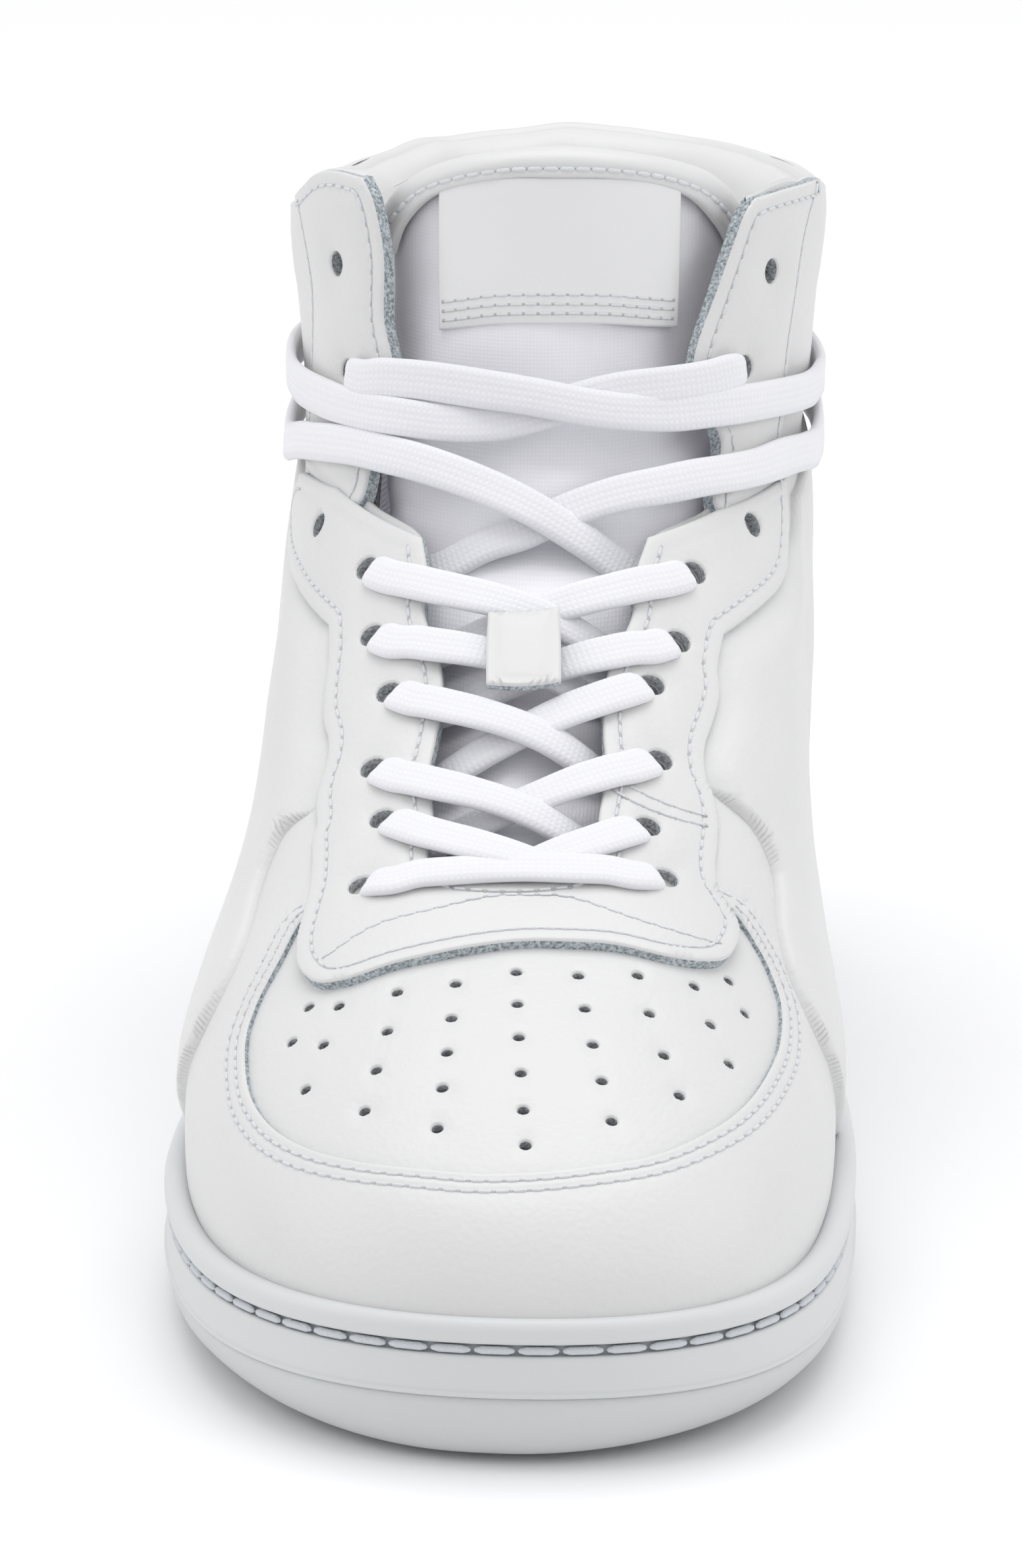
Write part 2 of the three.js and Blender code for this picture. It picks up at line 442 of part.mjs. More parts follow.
// the two ends leave row six, cross, go once round the ankle and come back to row eight, crossing again at the heel
const [u6, t6] = EYELETS[5], [u8, t8] = EYELETS[7];
const HEEL_OVER = 4.95;
const WRAPS = [
  [[-u6, t6, LACE_UNDER], [-0.9, 6.48, LACE_UNDER], [0, 6.75, 0.2], [0.78, 6.9, 1.2], [1.5, 6.95, LACE_WRAP + 0.2], [1.88, 6.95, LACE_WRAP + 0.2],
    [3, 6.78, LACE_WRAP + 0.1], [3.82, 6.55, LACE_WRAP], [6, 6.4, LACE_WRAP], [9, 6.55, LACE_WRAP], [12, 6.8, LACE_WRAP], [14, 6.95, LACE_WRAP],
    [15.5, 7.2, LACE_WRAP], [16.5, 7.28, LACE_WRAP], [17, 7.33, 1.6], [18, 7.45, 1], [19, 7.49, 1.6], [19.5, 7.48, LACE_WRAP], [18 + u8, t8, LACE_WRAP]],
  [[u6, t6, LACE_UNDER], [0.9, 6.46, LACE_UNDER], [0, 6.7, -1.8], [-0.6, 6.79, -1.0], [-1, 6.81, 1.6], [-1.5, 6.82, LACE_WRAP], [-2.07, 6.78, LACE_WRAP],
    [-3, 6.7, LACE_WRAP], [-4.07, 6.5, LACE_WRAP], [-6, 6.4, HEEL_OVER], [-9, 6.6, HEEL_OVER], [-12, 6.9, HEEL_OVER], [-14.2, 7.12, HEEL_OVER], [-15.2, 7.18, LACE_WRAP],
    [-16.5, 7.22, LACE_WRAP], [-17, 7.24, 0.6], [-17.6, 7.3, -1.4], [-18.3, 7.42, -1.4], [-18.9, 7.48, 1.4], [-19.5, 7.46, LACE_WRAP], [-18 - u8, t8, LACE_WRAP]],
];
for (const wrap of WRAPS) strands.push(band(wrap));
const TAIL = [[0, 0], [0.03, -0.35], [0.08, -0.9]];
for (const side of [1, -1]) {
  post(side, 7);
  strands.push(band(TAIL.map(([du, dt]) => [side * (EYELETS[7][0] + du), EYELETS[7][1] + dt, LACE_UNDER]), 4));
}
add("lace", join(strands), COTTON);
for (const [side, name] of [[1, "lateral"], [-1, "medial"]]) {
  const u = side * (EYELETS[7][0] + 0.09), t = EYELETS[7][1] - 0.93;
  add("aglet_" + name, tube(place(u, t, LACE_UNDER), place(u + side * 0.05, t - 0.62, LACE_UNDER), 1.2, 8), "#e9eef2");
}

// ---- the frame: bounding box centred in plan, resting on z = 0 ----
const box = new THREE.Box3().setFromObject(group, true);
const middle = box.getCenter(new THREE.Vector3());
group.position.set(-middle.x, -middle.y, -box.min.z);
group.updateMatrixWorld(true);

export default group;
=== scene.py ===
"""Basketball high top, right shoe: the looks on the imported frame.

Lengths below are millimetres in the last's own frame (toe toward -Y, lateral side toward -X) and become
metres only where a mesh is made. A place on the upper is (u, t, d): u stations round the last from the toe
centre, + lateral and - medial, to 9 at the heel; t rows from the featherline 0 to the collar 9; d the depth
off the last's skin, + outward.
"""

import math

import bpy
import numpy as np
from mathutils import Matrix, Vector
from mathutils.geometry import delaunay_2d_cdt
from mathutils.kdtree import KDTree


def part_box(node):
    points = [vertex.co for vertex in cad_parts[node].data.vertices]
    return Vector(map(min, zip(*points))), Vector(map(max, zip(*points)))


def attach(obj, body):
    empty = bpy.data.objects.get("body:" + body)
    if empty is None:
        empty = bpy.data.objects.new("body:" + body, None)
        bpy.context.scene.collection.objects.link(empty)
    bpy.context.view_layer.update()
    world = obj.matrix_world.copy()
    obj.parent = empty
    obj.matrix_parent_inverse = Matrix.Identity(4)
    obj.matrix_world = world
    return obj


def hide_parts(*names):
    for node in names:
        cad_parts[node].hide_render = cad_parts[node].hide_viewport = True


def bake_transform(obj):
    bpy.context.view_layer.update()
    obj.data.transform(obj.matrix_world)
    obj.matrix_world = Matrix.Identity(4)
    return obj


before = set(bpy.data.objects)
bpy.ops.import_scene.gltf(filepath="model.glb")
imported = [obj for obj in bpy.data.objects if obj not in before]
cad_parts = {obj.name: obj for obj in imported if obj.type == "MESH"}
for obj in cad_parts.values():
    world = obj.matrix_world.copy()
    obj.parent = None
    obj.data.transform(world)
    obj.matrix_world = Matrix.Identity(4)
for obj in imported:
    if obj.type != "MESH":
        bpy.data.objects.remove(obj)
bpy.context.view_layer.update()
MM = 0.001

# where the last's frame sits in the row frame, from the round heel cushion
HEEL_CUSHION_AT = (0.9, 100.0)
low, high = (np.array(c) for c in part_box("heel_cushion"))
centre = (low + high) / 2
SHIFT = np.array([centre[0] - HEEL_CUSHION_AT[0] * MM, centre[1] - HEEL_CUSHION_AT[1] * MM, 0.0])


def metres(p):
    return np.asarray(p, float) * MM + SHIFT


# ---------- camera, matched to the sole's contour, the eyelet rows and the collar ----------
AZIMUTH, ELEVATION = math.radians(3.0), math.radians(17.0)
DISTANCE, LENS, SENSOR = 1500.0, 206.52, 36.0
AIM = np.array([0.0, 0.0, 75.0])
SLIDE_RIGHT, SLIDE_UP = -3.1402, -9.6559  # sideways from the aim, as the picture is framed
BACK = np.array([math.sin(AZIMUTH), -math.cos(AZIMUTH), math.tan(ELEVATION)]) * math.cos(ELEVATION)
RIGHT = np.array([math.cos(AZIMUTH), math.sin(AZIMUTH), 0.0])
UP = np.cross(BACK, RIGHT)
eye = AIM + BACK * DISTANCE + RIGHT * SLIDE_RIGHT + UP * SLIDE_UP
cam_data = bpy.data.cameras.new("camera")
cam = bpy.data.objects.new("camera", cam_data)
bpy.context.scene.collection.objects.link(cam)
cam_data.lens, cam_data.sensor_width, cam_data.sensor_fit = LENS, SENSOR, "AUTO"
cam_data.clip_start, cam_data.clip_end = 0.05, 50.0
turn = Matrix((RIGHT, UP, BACK)).transposed().to_4x4()
cam.matrix_world = Matrix.Translation(Vector(metres(eye))) @ turn
bpy.context.scene.camera = cam
bpy.context.scene.view_settings.view_transform = "Standard"

# ---------- the last's skin, as in the CAD ----------
HALF = 9
FOOT = [
    (0, -144), (25, -137.5), (43.5, -112), (50.5, -66), (47.5, -20), (41, 26), (38, 72), (36, 107),
    (24.5, 134), (0, 144),
]
ROWS = [
    (-144, 17.6, 144, 19.5, 50.5, 0.0, 15.8), (-145.4, 26, 145.6, 35, 51.1, 0.05, 29),
    (-135, 39.5, 147, 53, 50.0, 0.15, 41), (-108, 53, 144, 69, 46.0, 0.45, 54),
    (-79, 63, 140, 83, 44.0, 0.75, 67), (-52, 74, 136.5, 95, 43.5, 0.95, 81),
    (-18, 94, 134, 108, 42.5, 1.0, 99), (8, 117, 133, 121, 42.0, 1.0, 119),
    (18, 141, 134, 133.5, 44.0, 1.0, 140), (22, 163, 136, 146, 46.0, 1.0, 159),
    (25, 183, 137, 158, 47.0, 1.0, 178),
]
TOE_SWING, OVAL_POWER = 6.0, 2.2
TOP_ROW = len(ROWS) - 1


def row_points(row):
    front_y, front_z, back_y, back_z, half_width, oval, side_z = row
    out = []
    for k in range(2 * HALF):
        s = k if k <= HALF else 2 * HALF - k
        side = -1 if k <= HALF else 1
        along = (FOOT[s][1] + 144) / 288
        plan = max(0.0, 1 - abs(2 * along - 1) ** OVAL_POWER) ** (1 / OVAL_POWER)
        x = half_width * ((1 - oval) * FOOT[s][0] / 50.5 + oval * plan)
        c = math.cos(math.pi * s / HALF)
        z = side_z + (front_z - side_z) * ((1 + c) / 2) ** 3 + (back_z - side_z) * ((1 - c) / 2) ** 2
        out.append((side * x, front_y + (back_y - front_y) * along, z))
    return out


def control_net():
    p = np.array([row_points(r) for r in ROWS], float)
    c = p.copy()
    for _ in range(40):
        c = (6 * p - np.roll(c, 1, 1) - np.roll(c, -1, 1)) / 4
    net = []
    for k in range(2 * HALF):
        q = c[:, k]
        b = q.copy()
        for _ in range(60):
            for i in range(1, len(q) - 1):
                b[i] = (6 * q[i] - b[i - 1] - b[i + 1]) / 4
        net.append(np.concatenate([[2 * b[0] - b[1]], b, [2 * b[-1] - b[-2]]]))
    return np.array(net)


NET = control_net()


def weights(f):
    return np.array([(1 - f) ** 3, 3 * f**3 - 6 * f**2 + 4, -3 * f**3 + 3 * f**2 + 3 * f + 1, f**3]) / 6


def skin(u, t):
    u, t = np.broadcast_arrays(np.asarray(u, float), np.clip(np.asarray(t, float), 0, TOP_ROW))
    i = np.floor(u).astype(int)
    j = np.minimum(np.floor(t).astype(int), TOP_ROW - 1)
    wu, wt = weights(u - i), weights(t - j)
    p = np.zeros(u.shape + (3,))
    for m in range(4):
        for n in range(4):
            p += (wu[m] * wt[n])[..., None] * NET[(i - 1 + m) % (2 * HALF), j + n]
    swing = TOE_SWING * np.clip((-60 - p[..., 1]) / 89, 0, 1) ** 1.5
    p[..., 0] += swing + np.clip((p[..., 1] + 40) / 60, 0, 1)
    return p


def tangents(u, t, h=1e-3):
    t = np.clip(np.asarray(t, float), 0, TOP_ROW)
    up, down = np.minimum(t + h, TOP_ROW), np.maximum(t - h, 0)
    su = (skin(np.asarray(u) + h, t) - skin(np.asarray(u) - h, t)) / (2 * h)
    st = (skin(u, up) - skin(u, down)) / (up - down)[..., None]
    return su, st


def unit(v):
    return v / np.maximum(np.linalg.norm(v, axis=-1, keepdims=True), 1e-12)


def outward(u, t):
    su, st = tangents(u, t)
    return unit(np.cross(st, su))


def place(u, t, d):
    return skin(u, t) + np.asarray(d, float)[..., None] * outward(u, t)


# ---------- smooth value noise, seeded by its own lattice ----------
def noise(x, y, seed=0):
    def lattice(i, j):
        v = np.sin(i * 127.1 + j * 311.7 + seed * 74.7) * 43758.5453
        return v - np.floor(v)
    i, j = np.floor(x), np.floor(y)
    f, g = x - i, y - j
    f, g = f * f * (3 - 2 * f), g * g * (3 - 2 * g)
    a = lattice(i, j) * (1 - f) + lattice(i + 1, j) * f
    b = lattice(i, j + 1) * (1 - f) + lattice(i + 1, j + 1) * f
    return 2 * (a * (1 - g) + b * g) - 1


def bell(x, width):
    return np.exp(-((x / width) ** 2))


def ramp(x, lo, hi):
    f = np.clip((x - lo) / (hi - lo), 0, 1)
    return f * f * (3 - 2 * f)


# ---------- curves in (u, t) ----------
def between(p0, p1, p2, p3, f):
    """The point a share f of the way from p1 to p2 on a Catmull-Rom curve."""
    return 0.5 * (2 * p1 + (p2 - p0) * f + (2 * p0 - 5 * p1 + 4 * p2 - p3) * f * f
        + (3 * p1 - p0 - 3 * p2 + p3) * f**3)


def spline(points, closed=True, fine=10):
    """A curve through (u, t[, 1]) points, a third value marking a corner: its points and their corner flags."""
    pts = [np.array(p[:2], float) for p in points]
    corner = [len(p) > 2 for p in points]
    n = len(pts)
    out, flags = [], []
    for i in range(n if closed else n - 1):
        p1, p2 = pts[i], pts[(i + 1) % n]
        p0 = pts[i - 1] if (closed or i) and not corner[i] else 2 * p1 - p2
        p3 = pts[(i + 2) % n] if (closed or i + 2 < n) and not corner[(i + 1) % n] else 2 * p2 - p1
        for k in range(fine):
            f = k / fine
            out.append(between(p0, p1, p2, p3, f))
            flags.append(k == 0 and corner[i])
    if not closed:
        out.append(pts[-1])
        flags.append(True)
    return np.array(out), flags


def resample(uv, step, closed=True, flags=None):
    """Evenly spaced points along a (u, t) polyline, measured on the skin, keeping its corners."""
    if closed:
        uv = np.vstack([uv, uv[:1]])
    p = skin(uv[:, 0], uv[:, 1])
    run = np.concatenate([[0], np.cumsum(np.linalg.norm(np.diff(p, axis=0), axis=1))])
    stops = [0] + ([i for i, f in enumerate(flags) if f and i] if flags else []) + [len(uv) - 1]
    stops = sorted(set(stops))
    at = []
    for a, b in zip(stops, stops[1:]):
        n = max(1, round((run[b] - run[a]) / step))
        at.extend(run[a] + (run[b] - run[a]) * np.arange(n) / n)
    if not closed:
        at.append(run[-1])
    return np.stack([np.interp(at, run, uv[:, 0]), np.interp(at, run, uv[:, 1])], 1)


def in_uv(su, st, w):
    """The (u, t) steps that move a point of the skin by w."""
    g11, g12, g22 = (su * su).sum(1), (su * st).sum(1), (st * st).sum(1)
    b1, b2 = (su * w).sum(1), (st * w).sum(1)
    return np.stack([g22 * b1 - g12 * b2, g11 * b2 - g12 * b1], 1) / (g11 * g22 - g12 * g12)[:, None]


def inset(uv, dist, closed=True):
    """The polyline moved sideways on the skin by dist: inward for a counter-clockwise outline."""
    if closed:
        du = np.roll(uv, -1, 0) - np.roll(uv, 1, 0)
    else:
        du = np.gradient(uv, axis=0)
    su, st = tangents(uv[:, 0], uv[:, 1])
    n = unit(np.cross(st, su))
    along = unit(su * du[:, :1] + st * du[:, 1:])
    move = in_uv(su, st, np.cross(along, n))
    left = np.stack([-du[:, 1], du[:, 0]], 1)
    move *= np.sign((move * left).sum(1))[:, None]
    return uv + move * np.asarray(dist)


def area(uv):
    x, y = uv[:, 0], uv[:, 1]
    return 0.5 * float(np.sum(x * np.roll(y, -1) - np.roll(x, -1) * y))


def inside(points, loop):
    x, y = points[:, 0], points[:, 1]
    hit = np.zeros(len(points), bool)
    for (x0, y0), (x1, y1) in zip(loop, np.roll(loop, -1, 0)):
        if y0 != y1:
            cross = ((y0 > y) != (y1 > y)) & (x < (x1 - x0) * (y - y0) / (y1 - y0) + x0)
            hit ^= cross
    return hit


# ---------- meshes ----------
MATERIALS = {}


def link(name, verts, faces, materials, mats=None):
    mesh = bpy.data.meshes.new(name)
    mesh.from_pydata([tuple(v) for v in metres(verts)], [], [tuple(int(i) for i in f) for f in faces])
    for m in materials:
        mesh.materials.append(MATERIALS[m])
    if mats is not None:
        mesh.polygons.foreach_set("material_index", np.asarray(mats, np.int32))
    mesh.polygons.foreach_set("use_smooth", np.ones(len(mesh.polygons), bool))
    mesh.update()
    obj = bpy.data.objects.new(name, mesh)
    bpy.context.scene.collection.objects.link(obj)
    return obj


def settle(obj, body, nodes=()):
    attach(obj, body)
    if nodes:
        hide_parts(*nodes)
    return obj


SCALE = np.array([20.0, 22.0])  # roughly millimetres for each unit of (u, t)
HOLE_SIDES = 14
RIM_FINE = 6  # a distance to an edge is measured to this many points for each side of the outline


def tree_of(points):
    tree = KDTree(len(points))
    for i, p in enumerate(points):
        tree.insert(p, i)
    tree.balance()
    return tree


def patch(outline, top, bottom, holes=(), step=1.3, spacing=2.6, rings=(), edge=0.5, under=False):
    """A sheet of leather or a pad over the skin: (vertices, faces, material index, uv).

    top and bottom give depths from (u, t, distance to the edge); a pad has a face under it.
    """
    dense, flags = spline(outline)
    if area(dense) < 0:
        dense, flags = dense[::-1], flags[::-1]
    loop = resample(dense, step, True, flags)
    loops = [loop]
    for hu, ht, radius in holes:
        su, st = tangents(np.array([hu]), np.array([ht]))
        n = unit(np.cross(st, su))[0]
        x = unit(su)
        y = np.cross(n, x)
        angle = 2 * math.pi * np.arange(HOLE_SIDES)[:, None] / HOLE_SIDES
        ring = np.array([hu, ht]) + in_uv(su, st, radius * (x * np.cos(angle) + y * np.sin(angle)))
        loops.append(ring if area(ring) < 0 else ring[::-1])
    free = []
    for l in loops:
        soft = {edge * 0.12, edge * 0.35, edge * 0.7, edge} if edge > 1 else {edge * 0.3, edge}
        for r in sorted(soft | set(rings if l is loop else ())):
            free.append(inset(l, r))
    lo, hi = loop.min(0), loop.max(0)
    gu, gt = np.meshgrid(*(np.arange(lo[i], hi[i], spacing / SCALE[i]) for i in (0, 1)))
    gu = gu + (np.arange(gu.shape[0]) % 2)[:, None] * 0.5 * spacing / SCALE[0]
    cells = np.stack([gu.ravel(), gt.ravel()], 1)
    cells = cells[inside(cells, loop)]
    dense = []
    for l in loops:
        ahead = np.roll(l, -1, 0)
        dense += [l + (ahead - l) * (k / RIM_FINE) for k in range(RIM_FINE)]
    dense = np.vstack(dense)
    rim = tree_of(skin(dense[:, 0], dense[:, 1]))

    def to_edge(uv):
        return np.array([rim.find(q)[2] for q in skin(uv[:, 0], uv[:, 1])])

    near = max([edge] + list(rings)) + spacing * 0.45
    if len(cells):
        cells = cells[to_edge(cells) > near]
    free = np.vstack(free)
    free = free[inside(free, loop)]
    free = free[to_edge(free) > edge * 0.1]
    verts = np.vstack(loops + [free, cells])
    edges, base = [], 0
    for l in loops:
        edges += [(base + k, base + (k + 1) % len(l)) for k in range(len(l))]
        base += len(l)
    made = delaunay_2d_cdt([Vector(v) for v in verts * SCALE], edges, [], 0, 1e-6)
    uv = np.array([(v.x, v.y) for v in made[0]]) / SCALE
    tris = np.array([f for f in made[2] if len(f) == 3])
    mid = uv[tris].mean(1)
    keep = inside(mid, loop)
    for l in loops[1:]:
        keep &= ~inside(mid, l)
    tris = tris[keep]
    p2 = uv[tris]
    (ax, ay), (bx, by) = (p2[:, 1] - p2[:, 0]).T, (p2[:, 2] - p2[:, 0]).T
    turned = ax * by - ay * bx
    tris[turned > 0] = tris[turned > 0][:, ::-1]
    dist = to_edge(uv)
    drop = edge - np.sqrt(np.maximum(edge**2 - np.maximum(edge - dist, 0) ** 2, 0))
    d_top = top(uv[:, 0], uv[:, 1], dist) - drop
    d_low = bottom(uv[:, 0], uv[:, 1], dist) + (drop if under else 0)
    n = outward(uv[:, 0], uv[:, 1])
    s = skin(uv[:, 0], uv[:, 1])
    upper, lower = s + n * d_top[:, None], s + n * d_low[:, None]
    count = {}
    for x, y, z in tris:
        for a, b in ((x, y), (y, z), (z, x)):
            count[(a, b)] = count.get((a, b), 0) + 1
    border = [(a, b) for (a, b) in count if (b, a) not in count]
    faces = [tuple(f) for f in tris]
    mats = [0] * len(tris)
    if under:
        faces += [tuple(f[::-1] + len(uv)) for f in tris]
        faces += [(b, a, a + len(uv), b + len(uv)) for a, b in border]
        return np.vstack([upper, lower]), faces, [0] * len(faces), uv
    # the walls have vertices of their own, so the edge stays crisp
    used = sorted({i for pair in border for i in pair})
    new = {i: len(uv) + k for k, i in enumerate(used)}
    widest = 1.7 * max([h[2] for h in holes] + [0])
    on_hole = {i for i in used if any(np.hypot(*((uv[i] - np.array(h[:2])) * SCALE)) < widest
        for h in holes)}
    # walls round perforations and eyelets take a cut-edge grey: partly the cut leather's own colour, partly
    # painted shade inside the hole
    for a, b in border:
        faces.append((new[b], new[a], new[a] + len(used), new[b] + len(used)))
        mats.append(2 if a in on_hole and b in on_hole else 1)
    return np.vstack([upper, upper[used], lower[used]]), faces, mats, uv


def flat(value):
    return lambda u, t, dist: np.full(np.shape(u), float(value))


SURFACE = {}  # each panel's top face, for what is sewn to it
GROOVE_DEEP, GROOVE_WIDE = 0.22, 0.55


def leather(name, outline, nodes, thick=(0.05, 1.7), crown=0.25, groove=(), raw=True, relief=None, holes=(),
        body="shoe", skin_mat="leather", edge=0.45, spacing=2.6, step=1.3):
    """A leather panel, with a stitch groove at each distance in groove from its edge."""
    def top(u, t, dist):
        d = thick[1] + crown * (1 - np.exp(-dist / 4.0)) * (dist > 0)
        for g in groove:
            d = d - GROOVE_DEEP * bell(dist - g, GROOVE_WIDE)
        d = d + 0.10 * noise(u * 2.1, t * 2.3, 3) * ramp(dist, 2, 8)
        return d + (relief(u, t, dist) if relief else 0)

    SURFACE[name] = top
    rings = [g + o for g in groove for o in (-0.8, 0.0, 0.8)]
    verts, faces, mats, _ = patch(outline, top, flat(thick[0]), holes, step, spacing, rings, edge)
    obj = link(name, verts, faces, [skin_mat, "raw_edge" if raw else skin_mat, "hole_wall_cut_edge_and_shade"], mats)
    return settle(obj, body, nodes)


# a stitch: a plump capsule, as rings round its length
STITCH_RINGS = [(-0.5, 0.0), (-0.46, 0.55), (-0.3, 0.95), (0.3, 0.95), (0.46, 0.55), (0.5, 0.0)]
STITCH_SIDES = 6


def capsules(centres, along, out, length, width, height):
    """Many capsules as one (vertices, faces)."""
    side = unit(np.cross(along, out))
    out = unit(np.cross(side, along))
    ring, quads = [], []
    for x, r in STITCH_RINGS:
        for k in range(STITCH_SIDES):
            ang = 2 * math.pi * k / STITCH_SIDES
            ring.append((x * length, r * width / 2 * math.cos(ang), r * height / 2 * math.sin(ang)))
    for j in range(len(STITCH_RINGS) - 1):
        for k in range(STITCH_SIDES):
            a, b = j * STITCH_SIDES + k, j * STITCH_SIDES + (k + 1) % STITCH_SIDES
            quads.append((a, a + STITCH_SIDES, b + STITCH_SIDES, b))
    ring, quads = np.array(ring), np.array(quads)
    axes = zip((along, side, out), (ring[None, :, i:i + 1] for i in range(3)))
    v = centres[:, None] + sum(axis[:, None] * share for axis, share in axes)
    f = quads[None] + (np.arange(len(centres)) * len(ring))[:, None, None]
    return v.reshape(-1, 3), f.reshape(-1, 4)


# grey capsules sunk a little at each needle hole: painted shade in the holes
NEEDLE_HOLE_SHADES = []  # the needle holes of the rows made since the last stitches()


def stitch_row(line, depth, pitch=2.7, length=2.1, width=0.62, height=0.55):
    """Capsules along a (u, t) line at a depth; depth may be a number or a function of (u, t)."""
    uv = resample(np.asarray(line, float), pitch, False)
    d = depth(uv[:, 0], uv[:, 1]) if callable(depth) else np.full(len(uv), float(depth))
    c = place(uv[:, 0], uv[:, 1], d)
    out = outward(uv[:, 0], uv[:, 1])
    # a mid-grey capsule sunk under each needle hole stands in for the shade inside it
    NEEDLE_HOLE_SHADES.append(capsules(c - out * 0.12, unit(np.gradient(c, axis=0)), out, 0.75, 0.75, 0.3))
    c, along, uv = c[:-1] + np.diff(c, axis=0) / 2, unit(np.diff(c, axis=0)), uv[:-1]
    return capsules(c, along, outward(uv[:, 0], uv[:, 1]), length, width, height)


def sewn(panel, outline, first, last, dist, **kw):
    """A row of stitches on a panel, a distance inside the part of its outline between two points."""
    line = edge_line(outline, first, last, dist)
    return stitch_row(line, lambda u, t: SURFACE[panel](u, t, dist) + 0.12, **kw)


def stitches(name, rows, body="shoe", mat="thread", nodes=()):
    verts, faces, mats, base = [], [], [], 0
    for k, (v, f) in enumerate(rows + NEEDLE_HOLE_SHADES):
        verts.append(v)
        faces.append(f + base)
        mats += [int(k >= len(rows))] * len(f)
        base += len(v)
    NEEDLE_HOLE_SHADES.clear()
    obj = link(name, np.vstack(verts), np.vstack(faces), [mat, "needle_hole_painted_shade"], mats)
    return settle(obj, body, nodes)


def edge_line(outline, first, last, dist):
    """The line a distance inside an outline, from its first point to its last in the outline's own order."""
    dense, flags = spline(outline)
    if area(dense) < 0:
        line = inset(resample(dense, 0.8, True, flags)[::-1], dist)[::-1]
    else:
        line = inset(resample(dense, 0.8, True, flags), dist)
    away = [np.linalg.norm((line - np.array(p[:2])) * SCALE, axis=1) for p in (first, last)]
    a, b = (int(np.argmin(w)) for w in away)
    return line[a:b + 1] if a < b else np.vstack([line[a:], line[:b + 1]])


def mirrored(outline):
    return [(-p[0],) + tuple(p[1:]) for p in outline]


# ---------- materials ----------
def shader(name, color, rough, spec=0.5, sheen=0.0):
    mat = bpy.data.materials.new(name)
    mat.use_nodes = True
    MATERIALS[name] = mat
    tree = mat.node_tree
    bsdf = tree.nodes["Principled BSDF"]
    bsdf.inputs["Base Color"].default_value = (*color, 1)
    bsdf.inputs["Roughness"].default_value = rough
    bsdf.inputs["Specular IOR Level"].default_value = spec
    if sheen:
        bsdf.inputs["Sheen Weight"].default_value = sheen
        bsdf.inputs["Sheen Roughness"].default_value = 0.4
    return tree, bsdf


def node(tree, kind, ins=None, **props):
    made = tree.nodes.new("ShaderNode" + kind)
    for k, v in props.items():
        setattr(made, k, v)
    for k, v in (ins or {}).items():
        if isinstance(v, bpy.types.NodeSocket):
            tree.links.new(v, made.inputs[k])
        else:
            made.inputs[k].default_value = v
    return made


def bumps(tree, bsdf, layers):
    """Chained bump nodes from (height socket, strength, distance in metres)."""
    last = None
    for height, strength, distance in layers:
        b = node(tree, "Bump", {"Height": height, "Strength": strength, "Distance": distance})
        if last:
            tree.links.new(last, b.inputs["Normal"])
        last = b.outputs["Normal"]
    tree.links.new(last, bsdf.inputs["Normal"])


def shade_by(tree, bsdf, fac, dark, light, lo=0.3, hi=0.7):
    ramp_node = node(tree, "ValToRGB", {"Fac": fac})
    for end, position, color in zip(ramp_node.color_ramp.elements, (lo, hi), (dark, light)):
        end.position, end.color = position, (*color, 1)
    tree.links.new(ramp_node.outputs["Color"], bsdf.inputs["Base Color"])


def grained(name, color, rough, grain, strength, tint=0.97, **kw):
    """Leather and moulded faces: a fine grain over a slow change of tone."""
    tree, bsdf = shader(name, color, rough, **kw)
    at = node(tree, "TexCoord").outputs["Object"]
    cells = node(tree, "TexVoronoi", {"Vector": at, "Scale": grain, "Randomness": 1.0}, feature="SMOOTH_F1")
    fine = node(tree, "TexNoise", {"Vector": at, "Scale": grain * 1.7, "Detail": 3.0})
    slow = node(tree, "TexNoise", {"Vector": at, "Scale": 28.0, "Detail": 2.0})
    bumps(tree, bsdf, [(slow.outputs["Fac"], 0.12, 0.002), (cells.outputs["Distance"], strength, 0.0003),
        (fine.outputs["Fac"], strength * 0.6, 0.0002)])
    shade_by(tree, bsdf, slow.outputs["Fac"], tuple(c * tint for c in color), color)
    return tree, bsdf


def woven(name, color, rough, per_metre, strength, dark=0.85, uv=False, **kw):
    """Cloth: two crossed sets of waves."""
    tree, bsdf = shader(name, color, rough, **kw)
    at = node(tree, "TexCoord").outputs["UV" if uv else "Object"]
    wave = {"Vector": at, "Scale": per_metre, "Distortion": 0.4, "Detail": 1.0}
    warp, weft = (node(tree, "TexWave", wave, bands_direction=d) for d in ("X", "Y" if uv else "Z"))
    both_ways = node(tree, "Math", {0: warp.outputs["Fac"], 1: weft.outputs["Fac"]}, operation="MULTIPLY")
    fuzz = node(tree, "TexNoise", {"Vector": at, "Scale": per_metre * 3, "Detail": 3.0})
    bumps(tree, bsdf, [(both_ways.outputs["Value"], strength, 0.0004),
        (fuzz.outputs["Fac"], strength * 0.5, 0.0002)])
    shade_by(tree, bsdf, both_ways.outputs["Value"], tuple(c * dark for c in color), color, 0.0, 0.7)
    return tree, bsdf


def suede(name, dark, light):
    """A cut or skived leather face: speckled fibres."""
    tree, bsdf = shader(name, light, 0.95, 0.1, sheen=0.2)
    at = node(tree, "TexCoord").outputs["Object"]
    fibres = node(tree, "TexNoise", {"Vector": at, "Scale": 1700.0, "Detail": 3.0, "Roughness": 0.7})
    bumps(tree, bsdf, [(fibres.outputs["Fac"], 0.7, 0.0006)])
    shade_by(tree, bsdf, fibres.outputs["Fac"], dark, light, 0.38, 0.62)


